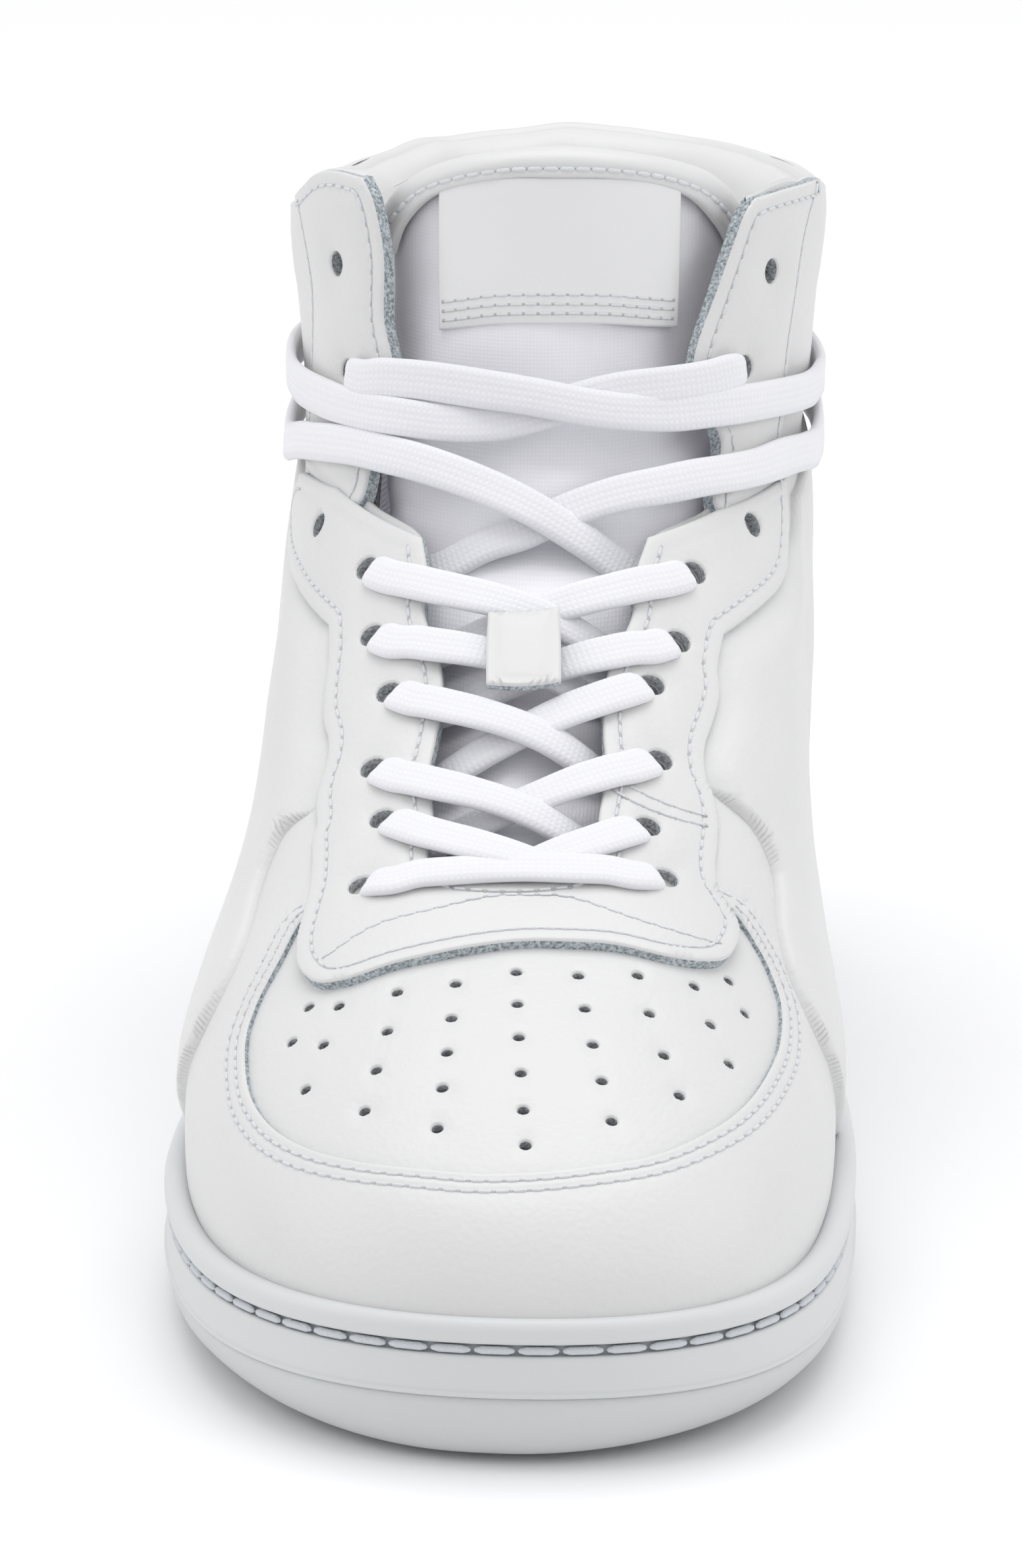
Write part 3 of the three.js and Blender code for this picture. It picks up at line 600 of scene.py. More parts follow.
WHITE_LEATHER = (0.70, 0.70, 0.695)
grained("leather", WHITE_LEATHER, 0.42, 1000.0, 0.22, spec=0.45)
# a lighter copy of the smooth leather for the label: partly its slightly lighter tone, partly painted light
# making up for the shade it sits in
grained("label_tone_and_painted_light", (0.80, 0.80, 0.80), 0.4, 1500.0, 0.08, spec=0.45)
grained("smooth_leather", (0.69, 0.69, 0.69), 0.4, 1500.0, 0.08, spec=0.45)
suede("raw_edge", (0.20, 0.24, 0.26), (0.62, 0.67, 0.70))
# walls of the punched holes: a cut-edge grey, partly the cut leather's own colour and partly painted shade
# inside the holes
suede("hole_wall_cut_edge_and_shade", (0.24, 0.25, 0.26), (0.60, 0.62, 0.64))
# mid grey for the sunk needle-hole capsules: painted shade in the holes
grained("needle_hole_painted_shade", (0.50, 0.50, 0.51), 0.95, 2600.0, 0.3, spec=0.1)
# the cupsole rubber made darker for the stitch groove's faces: painted shade in the groove
grained("groove_rubber_painted_shade", (0.48, 0.50, 0.51), 0.8, 2400.0, 0.05, spec=0.2)
grained("rubber", (0.66, 0.675, 0.68), 0.5, 2400.0, 0.05, spec=0.4)
grained("outsole_rubber", (0.63, 0.645, 0.65), 0.6, 1800.0, 0.12, spec=0.35)
grained("foam", (0.74, 0.74, 0.73), 0.9, 900.0, 0.4, spec=0.1)
grained("board", (0.62, 0.56, 0.46), 0.9, 700.0, 0.3, spec=0.1)
grained("gel", (0.55, 0.62, 0.78), 0.5, 700.0, 0.05, spec=0.4)
woven("satin", (0.87, 0.865, 0.905), 0.42, 520.0, 0.1, dark=0.96, sheen=0.35, spec=0.5)
woven("lining", (0.72, 0.72, 0.78), 0.85, 330.0, 0.5, sheen=0.3, spec=0.2)
woven("lace", (0.82, 0.82, 0.85), 0.85, 0.4, 0.24, dark=0.96, uv=True, sheen=0.4, spec=0.2)
grained("thread", (0.72, 0.73, 0.75), 0.7, 3500.0, 0.4, spec=0.25)
grained("sole_thread", (0.62, 0.65, 0.68), 0.65, 3500.0, 0.4, spec=0.25)
tree, bsdf = shader("clear_plastic", (0.85, 0.87, 0.9), 0.2, spec=0.5)
bsdf.inputs["Transmission Weight"].default_value = 0.6
streak = node(tree, "TexNoise", {"Scale": 900.0, "Detail": 1.0})
bumps(tree, bsdf, [(streak.outputs["Fac"], 0.05, 0.0002)])

# the nodes kept from the CAD
HIDDEN = {
    "foam": ["foam_midsole", "collar_foam"], "gel": ["heel_cushion"],
    "board": ["insole_board", "toe_puff", "heel_stiffener"],
    "lining": ["vamp_lining", "quarter_lining", "sockliner"],
    "raw_edge": ["eyestay_reinforcement_lateral", "eyestay_reinforcement_medial"],
    "clear_plastic": ["aglet_lateral", "aglet_medial"],
}
for look, names in HIDDEN.items():
    for n in names:
        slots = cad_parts[n].material_slots
        if not slots:
            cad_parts[n].data.materials.append(MATERIALS[look])
        for s in slots:
            s.link = "OBJECT"
            s.material = MATERIALS[look]

# ---------- the sole ----------
SOLE_COLUMNS = 420
RISE, SPRING = 0.28, 3.5
# the outsole's edge curls up and in at the two corners of the toe
EDGE_TOP, CORNER_IN, CORNER_UP = 8.3, 1.2, 2.4


def toe_spring(p):
    return SPRING * np.maximum(0, (-70 - p[:, 1]) / 80) ** 2


def corner(p):
    return ramp(np.abs(p[:, 0]), 4, 50) * ramp(-p[:, 1], 74, 122)


def sole_loop(out, level, columns=SOLE_COLUMNS):
    u = np.arange(columns) * 2 * HALF / columns
    p, n = skin(u, np.zeros(columns)), outward(u, np.zeros(columns))
    n[:, 2] = 0
    p = p + unit(n) * np.asarray(out)[..., None]
    rise = 1 + RISE * ramp(p[:, 1], -40, 110)
    spring = toe_spring(p)
    low = 1 - min(level / EDGE_TOP, 1)
    bevel = corner(p) * low
    p[:, :2] -= CORNER_IN * bevel[:, None] * unit(n)[:, :2]
    p[:, 2] = level * rise + spring * (1 - 0.55 * low) + CORNER_UP * bevel
    return p


def loft(loops, closed_ring=True):
    """Quads between loops of equal length, given from the bottom up."""
    n = len(loops[0])
    verts = np.vstack(loops)
    faces = []
    for j in range(len(loops) - 1):
        for k in range(n if closed_ring else n - 1):
            a, b = j * n + k, j * n + (k + 1) % n
            faces.append((a, a + n, b + n, b))
    return verts, faces


# (out from the skin's featherline, level) up the cupsole's wall: foot, ridge, face, stitch groove, bead
WALL = [
    (2.6, 8.7), (4.6, 8.55), (4.95, 8.62), (5.3, 8.8), (5.5, 9.05), (5.5, 9.3), (5.3, 9.5), (5.12, 9.62),
    (5.1, 10.2), (5.08, 11.2), (5.05, 12.6), (5.0, 14.3), (4.97, 15.0), (4.85, 15.35), (4.5, 15.5),
    (3.8, 15.6), (3.45, 15.85), (3.4, 16.4), (3.5, 16.95), (3.9, 17.25), (4.6, 17.35), (5.05, 17.55),
    (5.3, 18.0), (5.4, 18.7), (5.36, 19.4), (5.15, 20.15), (4.75, 20.75), (4.2, 21.15), (3.5, 21.35),
    (2.7, 21.3), (2.0, 21.0), (1.3, 20.4), (0.5, 19.2),
]
GROOVE = (14, 20)  # the profile's steps that are the stitch groove
verts, faces = loft([sole_loop(o, l) for o, l in WALL])
# the groove's faces take the darker rubber: painted shade in the stitch groove
in_groove = [int(GROOVE[0] <= k // SOLE_COLUMNS < GROOVE[1]) for k in range(len(faces))]
settle(link("cupsole_wall", verts, faces, ["rubber", "groove_rubber_painted_shade"], in_groove), "shoe",
    ["cupsole"])

# the outsole: a rounded edge, then rings that close in on the tread
EDGE = [
    (3.4, 8.75), (4.5, 8.6), (4.85, 8.3), (4.95, 7.4), (4.85, 5.8), (4.5, 4.2), (3.95, 2.8), (3.2, 1.6),
    (2.3, 0.75), (1.3, 0.22), (0.4, 0.0),
]
loops = [sole_loop(o, l) for o, l in EDGE]
rim_loop = loops[-1]
spine = rim_loop.copy()
spine[:, 0] = np.interp(rim_loop[:, 1], [-144, -60, 0, 144], [4.0, 4.0, 0.5, 0.5])
spine[:, 1] = np.clip(rim_loop[:, 1], -104, 112)
RINGS_IN = 34
BALL = (2.0, -72.0)  # centre of the tread's pivot circle
TREAD_DEEP, CIRCLE_RADIUS = 1.5, 28.0
for k in range(1, RINGS_IN + 1):
    f = 1 - k / RINGS_IN * 0.995
    p = spine + (rim_loop - spine) * f
    zigzag = np.abs((p[:, 0] / 13.0) % 2 - 1) * 5.0
    cut = bell(((p[:, 1] + zigzag) % 6.5) - 3.25, 1.0) * ramp(1 - f, 0.06, 0.12)
    from_ball = np.hypot(p[:, 0] - BALL[0], p[:, 1] - BALL[1])
    circle = bell(np.abs((from_ball % 7.0) - 3.5), 1.0)
    pivot = ramp(-from_ball, -CIRCLE_RADIUS, 2 - CIRCLE_RADIUS)
    pattern = cut * (1 - pivot) + circle * pivot
    p[:, 2] = 0.45 * toe_spring(p) + CORNER_UP * corner(p) + TREAD_DEEP * pattern
    loops.append(p)
verts, faces = loft(loops[::-1])
settle(link("outsole_tread", verts, faces, ["outsole_rubber"]), "shoe", ["outsole"])

STITCH_OUT, STITCH_LEVEL = 4.5, 16.4
SOLE_STITCH = 6.8
ring = sole_loop(STITCH_OUT, STITCH_LEVEL)
ring = np.vstack([ring, ring[:1]])
at = np.concatenate([[0], np.cumsum(np.linalg.norm(np.diff(ring, axis=0), axis=1))])
count = round(at[-1] / SOLE_STITCH)
want = (np.arange(count) + 0.5) * at[-1] / count
before, centres, after = (np.stack([np.interp(want + o, at, c) for c in ring.T], 1) for o in (-1, 0, 1))
along = unit(after - before)
level_out = unit(np.cross(along, np.array([0, 0, 1.0])))
stitches("sole_stitches", [capsules(centres, along, level_out, 6.4, 1.45, 1.25)], mat="sole_thread",
    nodes=["sole_stitch_thread"])

# ---------- the upper's panels; a third value marks a corner ----------
EYELETS_L = [
    (1.43, 4.17), (1.34, 4.8), (1.52, 5.12), (1.45, 5.59), (1.72, 5.86), (1.87, 6.22), (2.68, 6.28),
    (2.28, 7.42), (2.35, 8.2),
]
EYELETS_M = [
    (-1.5, 4.26), (-1.35, 4.77), (-1.47, 5.21), (-1.36, 5.67), (-1.62, 5.87), (-1.77, 6.24), (-2.47, 6.38),
    (-2.3, 7.48), (-2.55, 8.15),
]
HOLE = 2.15
LOW_HOLES = [(u, t, HOLE) for u, t in EYELETS_L[:7] + EYELETS_M[:7]]
OUTER_L = [
    (3.3, 6.46), (3.75, 6.18), (3.86, 5.93), (3.65, 5.79), (3.3, 5.77), (2.93, 5.77), (2.55, 5.77),
    (2.29, 5.77, 1), (2.24, 5.6), (2.23, 5.38), (2.19, 5.22), (2.08, 5.12), (2.06, 4.98), (2.1, 4.8),
    (2.1, 4.62), (2.04, 4.45), (2.06, 4.3), (2.0, 4.1), (1.95, 3.88), (1.95, 3.62), (1.94, 3.42),
    (1.86, 3.26), (1.65, 3.22), (1.38, 3.35), (0.98, 3.6), (0.48, 3.8), (0, 3.9), (-0.43, 3.9),
    (-0.95, 3.8), (-1.45, 3.55), (-1.75, 3.4), (-1.97, 3.32), (-2.13, 3.38), (-2.17, 3.5), (-2.1, 3.72),
    (-2.01, 3.95), (-2.01, 4.15), (-2.05, 4.32), (-2.07, 4.55), (-2.02, 4.8), (-1.94, 5.0), (-1.94, 5.18),
    (-2.02, 5.3), (-2.09, 5.45), (-2.06, 5.62), (-2.12, 5.8, 1), (-2.45, 5.82), (-2.7, 5.83),
    (-2.92, 5.85), (-3.08, 5.95), (-3.13, 6.25), (-3.05, 6.55, 1),
]
INNER = [
    (-2.0, 6.58, 1), (-1.25, 6.52, 1), (-1.13, 6.3), (-1.12, 6.08), (-0.9, 5.8), (-0.87, 5.55), (-0.93, 5.22),
    (-0.87, 4.93), (-0.9, 4.62), (-0.7, 4.5), (-0.3, 4.47), (0.3, 4.46), (0.62, 4.47), (0.82, 4.6),
    (0.82, 4.92), (0.91, 5.2), (0.86, 5.52), (0.89, 5.78), (1.14, 6.08), (1.15, 6.3), (1.24, 6.5, 1),
    (2.4, 6.6, 1),
]
eyestay = OUTER_L + INNER
TOE_L = [
    (2.0, 3.6), (2.12, 3.17), (2.2, 2.82), (2.2, 2.55), (2.1, 2.36), (1.95, 2.21), (1.7, 2.12), (1.4, 2.1),
    (1.03, 2.12), (0.62, 2.15), (0.25, 2.15), (-0.12, 2.17), (-0.52, 2.2), (-0.93, 2.22), (-1.32, 2.27),
    (-1.7, 2.32), (-2.05, 2.4), (-2.3, 2.48), (-2.46, 2.65), (-2.47, 2.88), (-2.4, 3.15), (-2.2, 3.6),
]
mudguard = [
    (1.72, 5.1, 1), (1.8, 4.5), (1.82, 4.1), (1.84, 3.72, 1)] + TOE_L + [(-1.98, 3.75, 1), (-1.86, 4.1),
    (-1.82, 4.6), (-1.72, 5.2, 1), (-2.3, 5.2, 1), (-2.55, 4.6), (-2.8, 3.9), (-2.95, 3.1), (-3.1, 2.2),
    (-3.45, 1.0), (-3.75, 0.02, 1), (3.75, 0.02, 1), (3.45, 1.0), (3.05, 2.2), (2.85, 3.0), (2.8, 3.8),
    (2.55, 4.5), (2.3, 5.1, 1),
]
vamp = [
    (1.6, 4.3, 1), (2.5, 4.2, 1), (2.7, 3.4), (2.75, 2.5), (2.6, 1.7), (2.2, 1.3), (1.6, 1.25), (0.8, 1.3),
    (0, 1.3), (-0.8, 1.32), (-1.6, 1.3), (-2.3, 1.35), (-2.8, 1.8), (-2.95, 2.6), (-2.85, 3.5),
    (-2.5, 4.3, 1), (-1.6, 4.35, 1), (-0.86, 4.4), (0, 4.37), (0.86, 4.36),
]
PERFORATIONS = [
    (-0.07, (3.7, 3.42, 3.15, 2.88, 2.62, 2.38)), (-0.62, (3.65, 3.36, 3.07, 2.8, 2.52)),
    (-1.15, (3.55, 3.23, 2.9, 2.6)), (-1.66, (3.3, 2.97, 2.65)), (-2.02, (3.17, 2.87)),
    (0.46, (3.57, 3.28, 3.01, 2.75, 2.47)), (0.96, (3.42, 3.1, 2.8, 2.5)), (1.45, (3.17, 2.85, 2.5)),
    (1.72, (3.05, 2.75)),
]
SPREAD = 0.16  # a row drifts outward as it runs down the toe
PERFORATION = 0.95  # its radius
perforations = [(u * (1 + SPREAD * k / 5), t, PERFORATION) for u, row in PERFORATIONS
    for k, t in enumerate(row)]


def quarter_relief(u, t, dist):
    a = np.abs(u)
    padding = 1.3 * ramp(a, 3.0, 4.0) * ramp(t, 6.3, 7.2) * (1 - ramp(t, 8.2, 9.0))
    wrinkles = 0.25 * noise(u * 1.3 + 2, t * 1.7, 12) + 0.14 * noise(u * 2.6 + 4, t * 4.4, 13)
    return padding + wrinkles * ramp(dist, 3, 12)


def cuff_relief(u, t, dist):
    return 0.55 * (1 - np.exp(-dist / 5.0)) + 0.18 * noise(u * 1.8, t * 1.9, 21)


eyestay_rim = spline(eyestay)[0]
eyestay_tree = tree_of(skin(eyestay_rim[:, 0], eyestay_rim[:, 1]))


def beyond_eyestay(u, t):
    """Millimetres outside the eyestay's edge, negative under it."""
    reach = np.array([eyestay_tree.find(q)[2] for q in skin(u, t)])
    return np.where(inside(np.stack([u, t], 1), eyestay_rim), -reach, reach)


def mudguard_relief(u, t, dist):
    """It sinks as it runs under the wings."""
    return -1.0 * ramp(t, 4.25, 4.8)


def backstay_relief(u, t, dist):
    return 1.2 * ramp(t, 6.4, 7.2) * (1 - ramp(t, 8.2, 9.0))


def wing_relief(u, t, dist):
    """Its front edge is folded over, and it lies down where it runs under the eyestay."""
    away = beyond_eyestay(u, t)
    fold = 1.6 * ramp(away, 0.5, 7.0) * (1 - ramp(np.abs(u), 2.9, 3.8))
    wave = 0.45 * noise(u * 1.1 + 7, t * 1.5, 31) * ramp(dist, 2, 14) * ramp(away, 2, 12)
    return fold - 0.85 * (1 - ramp(away, 0.0, 5.0)) + wave


def toe_swell(u, t, dist):
    return 0.5 * bell(u, 1.6) * bell(t - 3.0, 0.8) + 0.16 * noise(u * 1.6 + 5, t * 2.2, 9)


# the distance of each stitch row from its panel's edge
MUDGUARD_ROWS, HEEL_ROWS = (1.7, 3.8), (2.6, 5.2)
EYESTAY_ROW, THROAT_ROW, CUFF_ROW, BACKSTAY_ROW = 2.9, 2.6, 2.4, 2.2
WING_SEAM = (3.4, 5.2)
leather("vamp", vamp, ["vamp_toe"], (-1.5, 0.15), crown=0.0, raw=False, relief=toe_swell,
    holes=perforations, spacing=2.2)
leather("mudguard_panel", mudguard, ["mudguard"], (-0.6, 1.4), crown=0.2, groove=MUDGUARD_ROWS,
    relief=mudguard_relief, spacing=2.4)
leather("eyestay_panel", eyestay, ["eyestay"], (-0.1, 2.25), crown=0.12, groove=(EYESTAY_ROW,),
    holes=LOW_HOLES, spacing=2.4)

WINGS = {}
WINGS["lateral"] = [
    (1.88, 4.92, 1), (2.14, 4.55), (2.45, 4.15), (2.59, 3.75), (2.63, 3.4), (2.57, 2.97), (2.66, 2.4),
    (2.95, 1.5), (3.3, 0.4), (3.45, 0.02, 1),
]
WINGS["medial"] = [
    (1.78, 5.08, 1), (2.2, 4.65), (2.46, 4.25), (2.63, 3.87), (2.72, 3.52), (2.63, 3.1), (2.68, 2.5),
    (2.95, 1.6), (3.3, 0.5), (3.45, 0.02, 1),
]
# the back of a wing, hidden under the eyestay and the heel counter
WING_BACK = [
    (5.5, 0.02, 1), (5.75, 2.0), (5.95, 5.0), (5.6, 6.4, 1), (3.5, 6.3, 1), (3.4, 6.05), (2.6, 5.98),
    (1.86, 5.9, 1), (1.75, 5.4),
]
CUFFS = {}
CUFFS["lateral"] = [
    (2.2, 6.5, 1), (2.02, 6.66), (1.93, 6.98), (1.84, 7.25), (1.66, 7.55), (1.74, 7.87), (1.71, 8.35),
    (1.8, 8.76), (1.93, 8.95, 1), (2.3, 8.96), (2.6, 8.9), (2.9, 8.76), (3.2, 8.63, 1),
]
CUFFS["medial"] = [
    (2.1, 6.5, 1), (1.98, 6.68), (2.05, 7.02), (1.79, 7.32), (1.67, 7.62), (1.85, 8.05), (2.0, 8.4),
    (2.12, 8.66), (2.24, 8.78, 1), (2.6, 8.8), (3.0, 8.8), (3.5, 8.79, 1),
]
CUFF_BACKS = {}
CUFF_BACKS["lateral"] = [(3.02, 8.1), (3.0, 7.8), (3.22, 7.1), (3.3, 6.5, 1)]
CUFF_BACKS["medial"] = [(3.2, 8.3), (3.1, 7.6), (3.08, 7.1), (2.95, 6.5, 1)]
# the collar's top edge from the cuff to the heel: it dips at the ankle
COLLAR_TOP = {}
COLLAR_TOP["lateral"] = [
    (2.6, 8.88), (3, 8.7), (3.4, 8.56), (3.8, 8.49), (4.2, 8.44), (4.6, 8.41), (5, 8.41), (5.5, 8.47),
    (6, 8.54), (6.5, 8.63), (7, 8.71), (7.5, 8.82), (8, 8.93), (8.5, 9.0), (9, 9.04),
]
COLLAR_TOP["medial"] = [
    (2.6, 8.8), (3, 8.8), (3.4, 8.79), (3.8, 8.74), (4.2, 8.68), (4.6, 8.62), (5, 8.6), (5.5, 8.61),
    (6, 8.67), (6.5, 8.72), (7, 8.78), (7.5, 8.84), (8, 8.92), (8.5, 9.0), (9, 9.04),
]

for side, sign in (("lateral", 1), ("medial", -1)):
    flip = (lambda o: o) if sign > 0 else mirrored
    eyes = EYELETS_L if sign > 0 else EYELETS_M
    wing = flip(WINGS[side] + WING_BACK)
    cuff = flip(CUFFS[side] + CUFF_BACKS[side])
    front = [(u + 0.05, t) + tuple(r) for u, t, *r in CUFFS[side][1:-2]]
    quarter = flip([(0.95, 4.7, 1), (0.98, 5.2), (0.93, 5.55), (0.97, 5.78), (1.2, 6.05), (1.22, 6.3),
        (1.35, 6.55), (2.0, 6.62)] + [(u, t) for u, t, *_ in front]
        + [(u, t) for u, t in COLLAR_TOP[side][2:-1]] + [(8.97, 9.02, 1), (8.97, 0.02, 1), (3.3, 0.02, 1),
        (3.1, 2.0), (2.9, 3.6), (2.4, 4.6, 1)])
    high_holes = [(u, t, HOLE) for u, t in eyes[7:]]
    low_holes = [(u, t, HOLE) for u, t in eyes[1:7]]
    leather("quarter_" + side + "_panel", quarter, ["quarter_" + side], (-1.5, 0.0), crown=0.3,
        relief=quarter_relief, holes=high_holes + low_holes, raw=False, spacing=3.4)
    leather("wing_" + side, wing, ["wing_panel_" + side], (0.0, 1.6), crown=0.6, raw=False,
        relief=wing_relief, edge=1.6, spacing=2.2, step=0.8)
    leather("cuff_" + side, cuff, ["cuff_facing_" + side], (-1.3, 1.35), crown=0.3, groove=(CUFF_ROW,),
        relief=cuff_relief, holes=high_holes, edge=0.4, spacing=2.6)

heel = [
    (5.3, 0.02, 1), (5.55, 2.0), (5.76, 5.0), (6.3, 5.7), (7.3, 6.4), (8.2, 6.65), (9, 6.7), (9.8, 6.65),
    (10.7, 6.4), (11.7, 5.7), (12.24, 5.0), (12.45, 2.0), (12.7, 0.02, 1),
]
leather("heel_counter_panel", heel, ["heel_counter"], (0.0, 2.15), crown=0.3, groove=HEEL_ROWS, spacing=3.2)
backstay = [
    (8.55, 6.6, 1), (8.52, 7.6), (8.5, 8.75), (8.62, 8.98), (9, 9.02), (9.38, 8.98), (9.5, 8.75), (9.48, 7.6),
    (9.45, 6.6, 1),
]
leather("backstay_panel", backstay, ["backstay"], (0.0, 1.9), crown=0.4, groove=(BACKSTAY_ROW,),
    relief=backstay_relief, spacing=2.4)

# ---------- stitches in the leather ----------
rows = [
    sewn("eyestay_panel", eyestay, (3.3, 6.46), (-3.05, 6.55), EYESTAY_ROW),
    sewn("eyestay_panel", eyestay, (-1.25, 6.52), (1.24, 6.5), THROAT_ROW),
]


def on_eyestay(u, t):
    return SURFACE["eyestay_panel"](u, t, 9.0) + 0.03


def on_mudguard(u, t):
    return SURFACE["mudguard_panel"](u, t, 9.0) + 0.1


toe_arc = spline([(1.62, 3.42), (1.3, 3.78), (0.95, 4.02), (0.25, 4.3), (-0.2, 4.33), (-0.65, 4.26),
    (-1.32, 3.87), (-1.92, 3.46)], False)[0]
rows.append(stitch_row(toe_arc, on_eyestay, width=0.75, height=0.42))
for shift in (-0.045, 0.045):
    across_eyestay = [(-1.0, 5.14 + shift), (-1.5, 4.86 + shift), (-1.93, 4.6 + shift)]
    rows.append(stitch_row(spline(across_eyestay, False)[0], on_eyestay))
for dist in MUDGUARD_ROWS:
    rows.append(sewn("mudguard_panel", mudguard, (2.0, 3.6), (-2.2, 3.6), dist))
for side, sign in (("lateral", 1), ("medial", -1)):
    flip = (lambda o: o) if sign > 0 else mirrored
    # the seam that holds the wing's folded edge, sewn through the mudguard in front of it
    front_edge = resample(spline([p[:2] for p in flip(WINGS[side][2:8])], False)[0], 1.0, False)
    for dist in WING_SEAM:
        rows.append(stitch_row(inset(front_edge, sign * dist, False), on_mudguard, width=0.5))
    cuff = flip(CUFFS[side] + CUFF_BACKS[side])
    rows.append(sewn("cuff_" + side, cuff, cuff[0], cuff[-1], CUFF_ROW))
stitches("upper_stitches", rows)
rows = [sewn("heel_counter_panel", heel, heel[0], heel[-1], dist) for dist in HEEL_ROWS]
rows.append(sewn("backstay_panel", backstay, backstay[0], backstay[-1], BACKSTAY_ROW))
stitches("heel_stitches", rows)

# ---------- the collar's padded lining ----------
# (rows below the top edge, depth) over the rolled edge and down the padding inside
ROLL = [
    (-0.2, -0.45), (-0.07, -0.2), (0.0, -0.5), (0.03, -1.3), (0.01, -2.1), (-0.05, -2.6), (-0.08, -3.0),
    (-0.04, -3.6), (-0.02, -4.6), (-0.05, -6.2), (-0.13, -8.0), (-0.28, -9.8), (-0.55, -11.2),
    (-0.9, -11.8), (-1.3, -11.9), (-1.8, -11.6), (-2.2, -11.0), (-2.6, -9.4), (-2.9, -6.6), (-3.1, -4.4),
]
LEATHER_STEPS = 11  # the fold of leather reaches this far down the inside
COLLAR_COLUMNS = 200
COLLAR_FROM, COLLAR_TO = 2.1, 2 * HALF - 2.2  # its two front ends, under the cuffs
u = np.linspace(COLLAR_FROM, COLLAR_TO, COLLAR_COLUMNS)
near_end = np.minimum(u - COLLAR_FROM, COLLAR_TO - u)
deep = 0.30 + 0.70 * ramp(near_end, 0.4, 1.25)
round_heel = [(2 * HALF - a, b) for a, b in COLLAR_TOP["medial"][-2::-1]]
top_line = [(COLLAR_FROM, 8.8)] + COLLAR_TOP["lateral"] + round_heel + [(COLLAR_TO, 8.74)]
top = np.interp(u, [p[0] for p in top_line], [p[1] for p in top_line])
for _ in range(4):
    top[1:-1] = (top[:-2] + 2 * top[1:-1] + top[2:]) / 4
pull = 0.05 * noise(u * 1.9, u * 0, 43)  # the rim isn't drawn quite straight
loops = []
for k, (dt, d) in enumerate(ROLL):
    t = top + dt + pull * (1 if 2 <= k <= 10 else 0.4) - 0.015 * (1 - ramp(near_end, 0.0, 0.5))
    loops.append(place(u, t, d * deep + 0.3 * noise(u * 2.3, u * 0 + k * 0.35, 41) * (k > 8)))
verts, faces = loft(loops, False)
in_lining = [int(k // (COLLAR_COLUMNS - 1) >= LEATHER_STEPS + 3) for k in range(len(faces))]
collar = link("collar_lining_pad", verts, [f[::-1] for f in faces], ["smooth_leather", "lining"], in_lining)
settle(collar, "shoe", ["collar_lining"])

# ---------- the tongue ----------
PAD_EDGE = 0.05


def pad(name, outline, top, low, half, mat, spacing=2.8):
    """A stuffed form: its faces close on each other toward the edge over half millimetres."""
    def face(sign):
        def depth(u, t, dist):
            puff = np.sqrt(np.clip(1 - (1 - np.clip(dist / half, 0, 1)) ** 2, 0, 1))
            return (top(u, t) + low(u, t)) / 2 + sign * (top(u, t) - low(u, t)) / 2 * puff
        return depth
    rings = [half * share for share in (0.08, 0.25, 0.5, 0.8)]
    verts, faces, mats, _ = patch(
        outline, face(1), face(-1), rings=rings, edge=PAD_EDGE, under=True, spacing=spacing)
    return link(name, verts, faces, [mat, mat], mats)


VOXEL, PRESSURE, LAST_FRAME = 0.004, 4.0, 20


def swell(obj, cap):
    """Stuffs a closed form by a short cloth simulation; no point moves more than cap millimetres."""
    mesh = obj.data
    before = np.array([v.co for v in mesh.vertices])
    trial = obj.copy()
    trial.data = mesh.copy()
    bpy.context.scene.collection.objects.link(trial)
    bpy.ops.object.select_all(action="DESELECT")
    trial.select_set(True)
    bpy.context.view_layer.objects.active = trial
    remesh = trial.modifiers.new("remesh", "REMESH")
    remesh.mode, remesh.voxel_size = "VOXEL", VOXEL
    bpy.ops.object.modifier_apply(modifier="remesh")
    start = np.array([v.co for v in trial.data.vertices])
    cloth = trial.modifiers.new("cloth", "CLOTH")
    cloth.settings.use_pressure, cloth.settings.uniform_pressure_force = True, PRESSURE
    cloth.settings.effector_weights.gravity = 0.0
    cloth.settings.quality = 6
    cloth.point_cache.frame_start, cloth.point_cache.frame_end = 1, LAST_FRAME
    for f in range(1, LAST_FRAME + 1):
        bpy.context.scene.frame_set(f)
    shown = trial.evaluated_get(bpy.context.evaluated_depsgraph_get())
    moved = np.array([v.co for v in shown.data.vertices]) - start
    bpy.context.scene.frame_set(1)
    size = np.linalg.norm(moved, axis=1, keepdims=True)
    moved = moved * np.minimum(1, cap * MM / np.maximum(size, 1e-9))
    coarse = tree_of(start)
    # the finer form takes the swelling of the simulated one
    for v, p in zip(mesh.vertices, before):
        near = coarse.find_n(Vector(p), 4)
        share = np.array([1 / (n[2] + 1e-4) for n in near])
        v.co = Vector(p + (moved[[n[1] for n in near]] * share[:, None]).sum(0) / share.sum())
    mesh.update()
    bpy.data.objects.remove(trial)


TONGUE_TOP, TONGUE_LOW = -6.2, -11.5


def tongue_top_depth(u, t):
    wrinkle = 1.4 * noise(u * 0.55 + 3 + 0.6 * t, t * 4.2 + u * 0.5, 51)
    wrinkle = wrinkle + 0.6 * noise(u * 1.1, t * 8.0 + u, 52)
    under_label = ramp(t, 7.3, 7.75)
    in_throat = ramp(6.7 - t, 0.0, 0.8)
    between_laces = 2.5 * bell(u, 0.6) * in_throat
    wrinkle = wrinkle * (1 - 0.85 * under_label) * (1 - 0.45 * in_throat)
    return TONGUE_TOP - 0.5 * under_label + between_laces + wrinkle + 0.7 * bell(t - 7.0, 0.9)


def tongue_low_depth(u, t):
    return TONGUE_LOW - 2.5 * ramp(t, 7.6, 8.3) + 0.3 * noise(u, t * 3, 53)


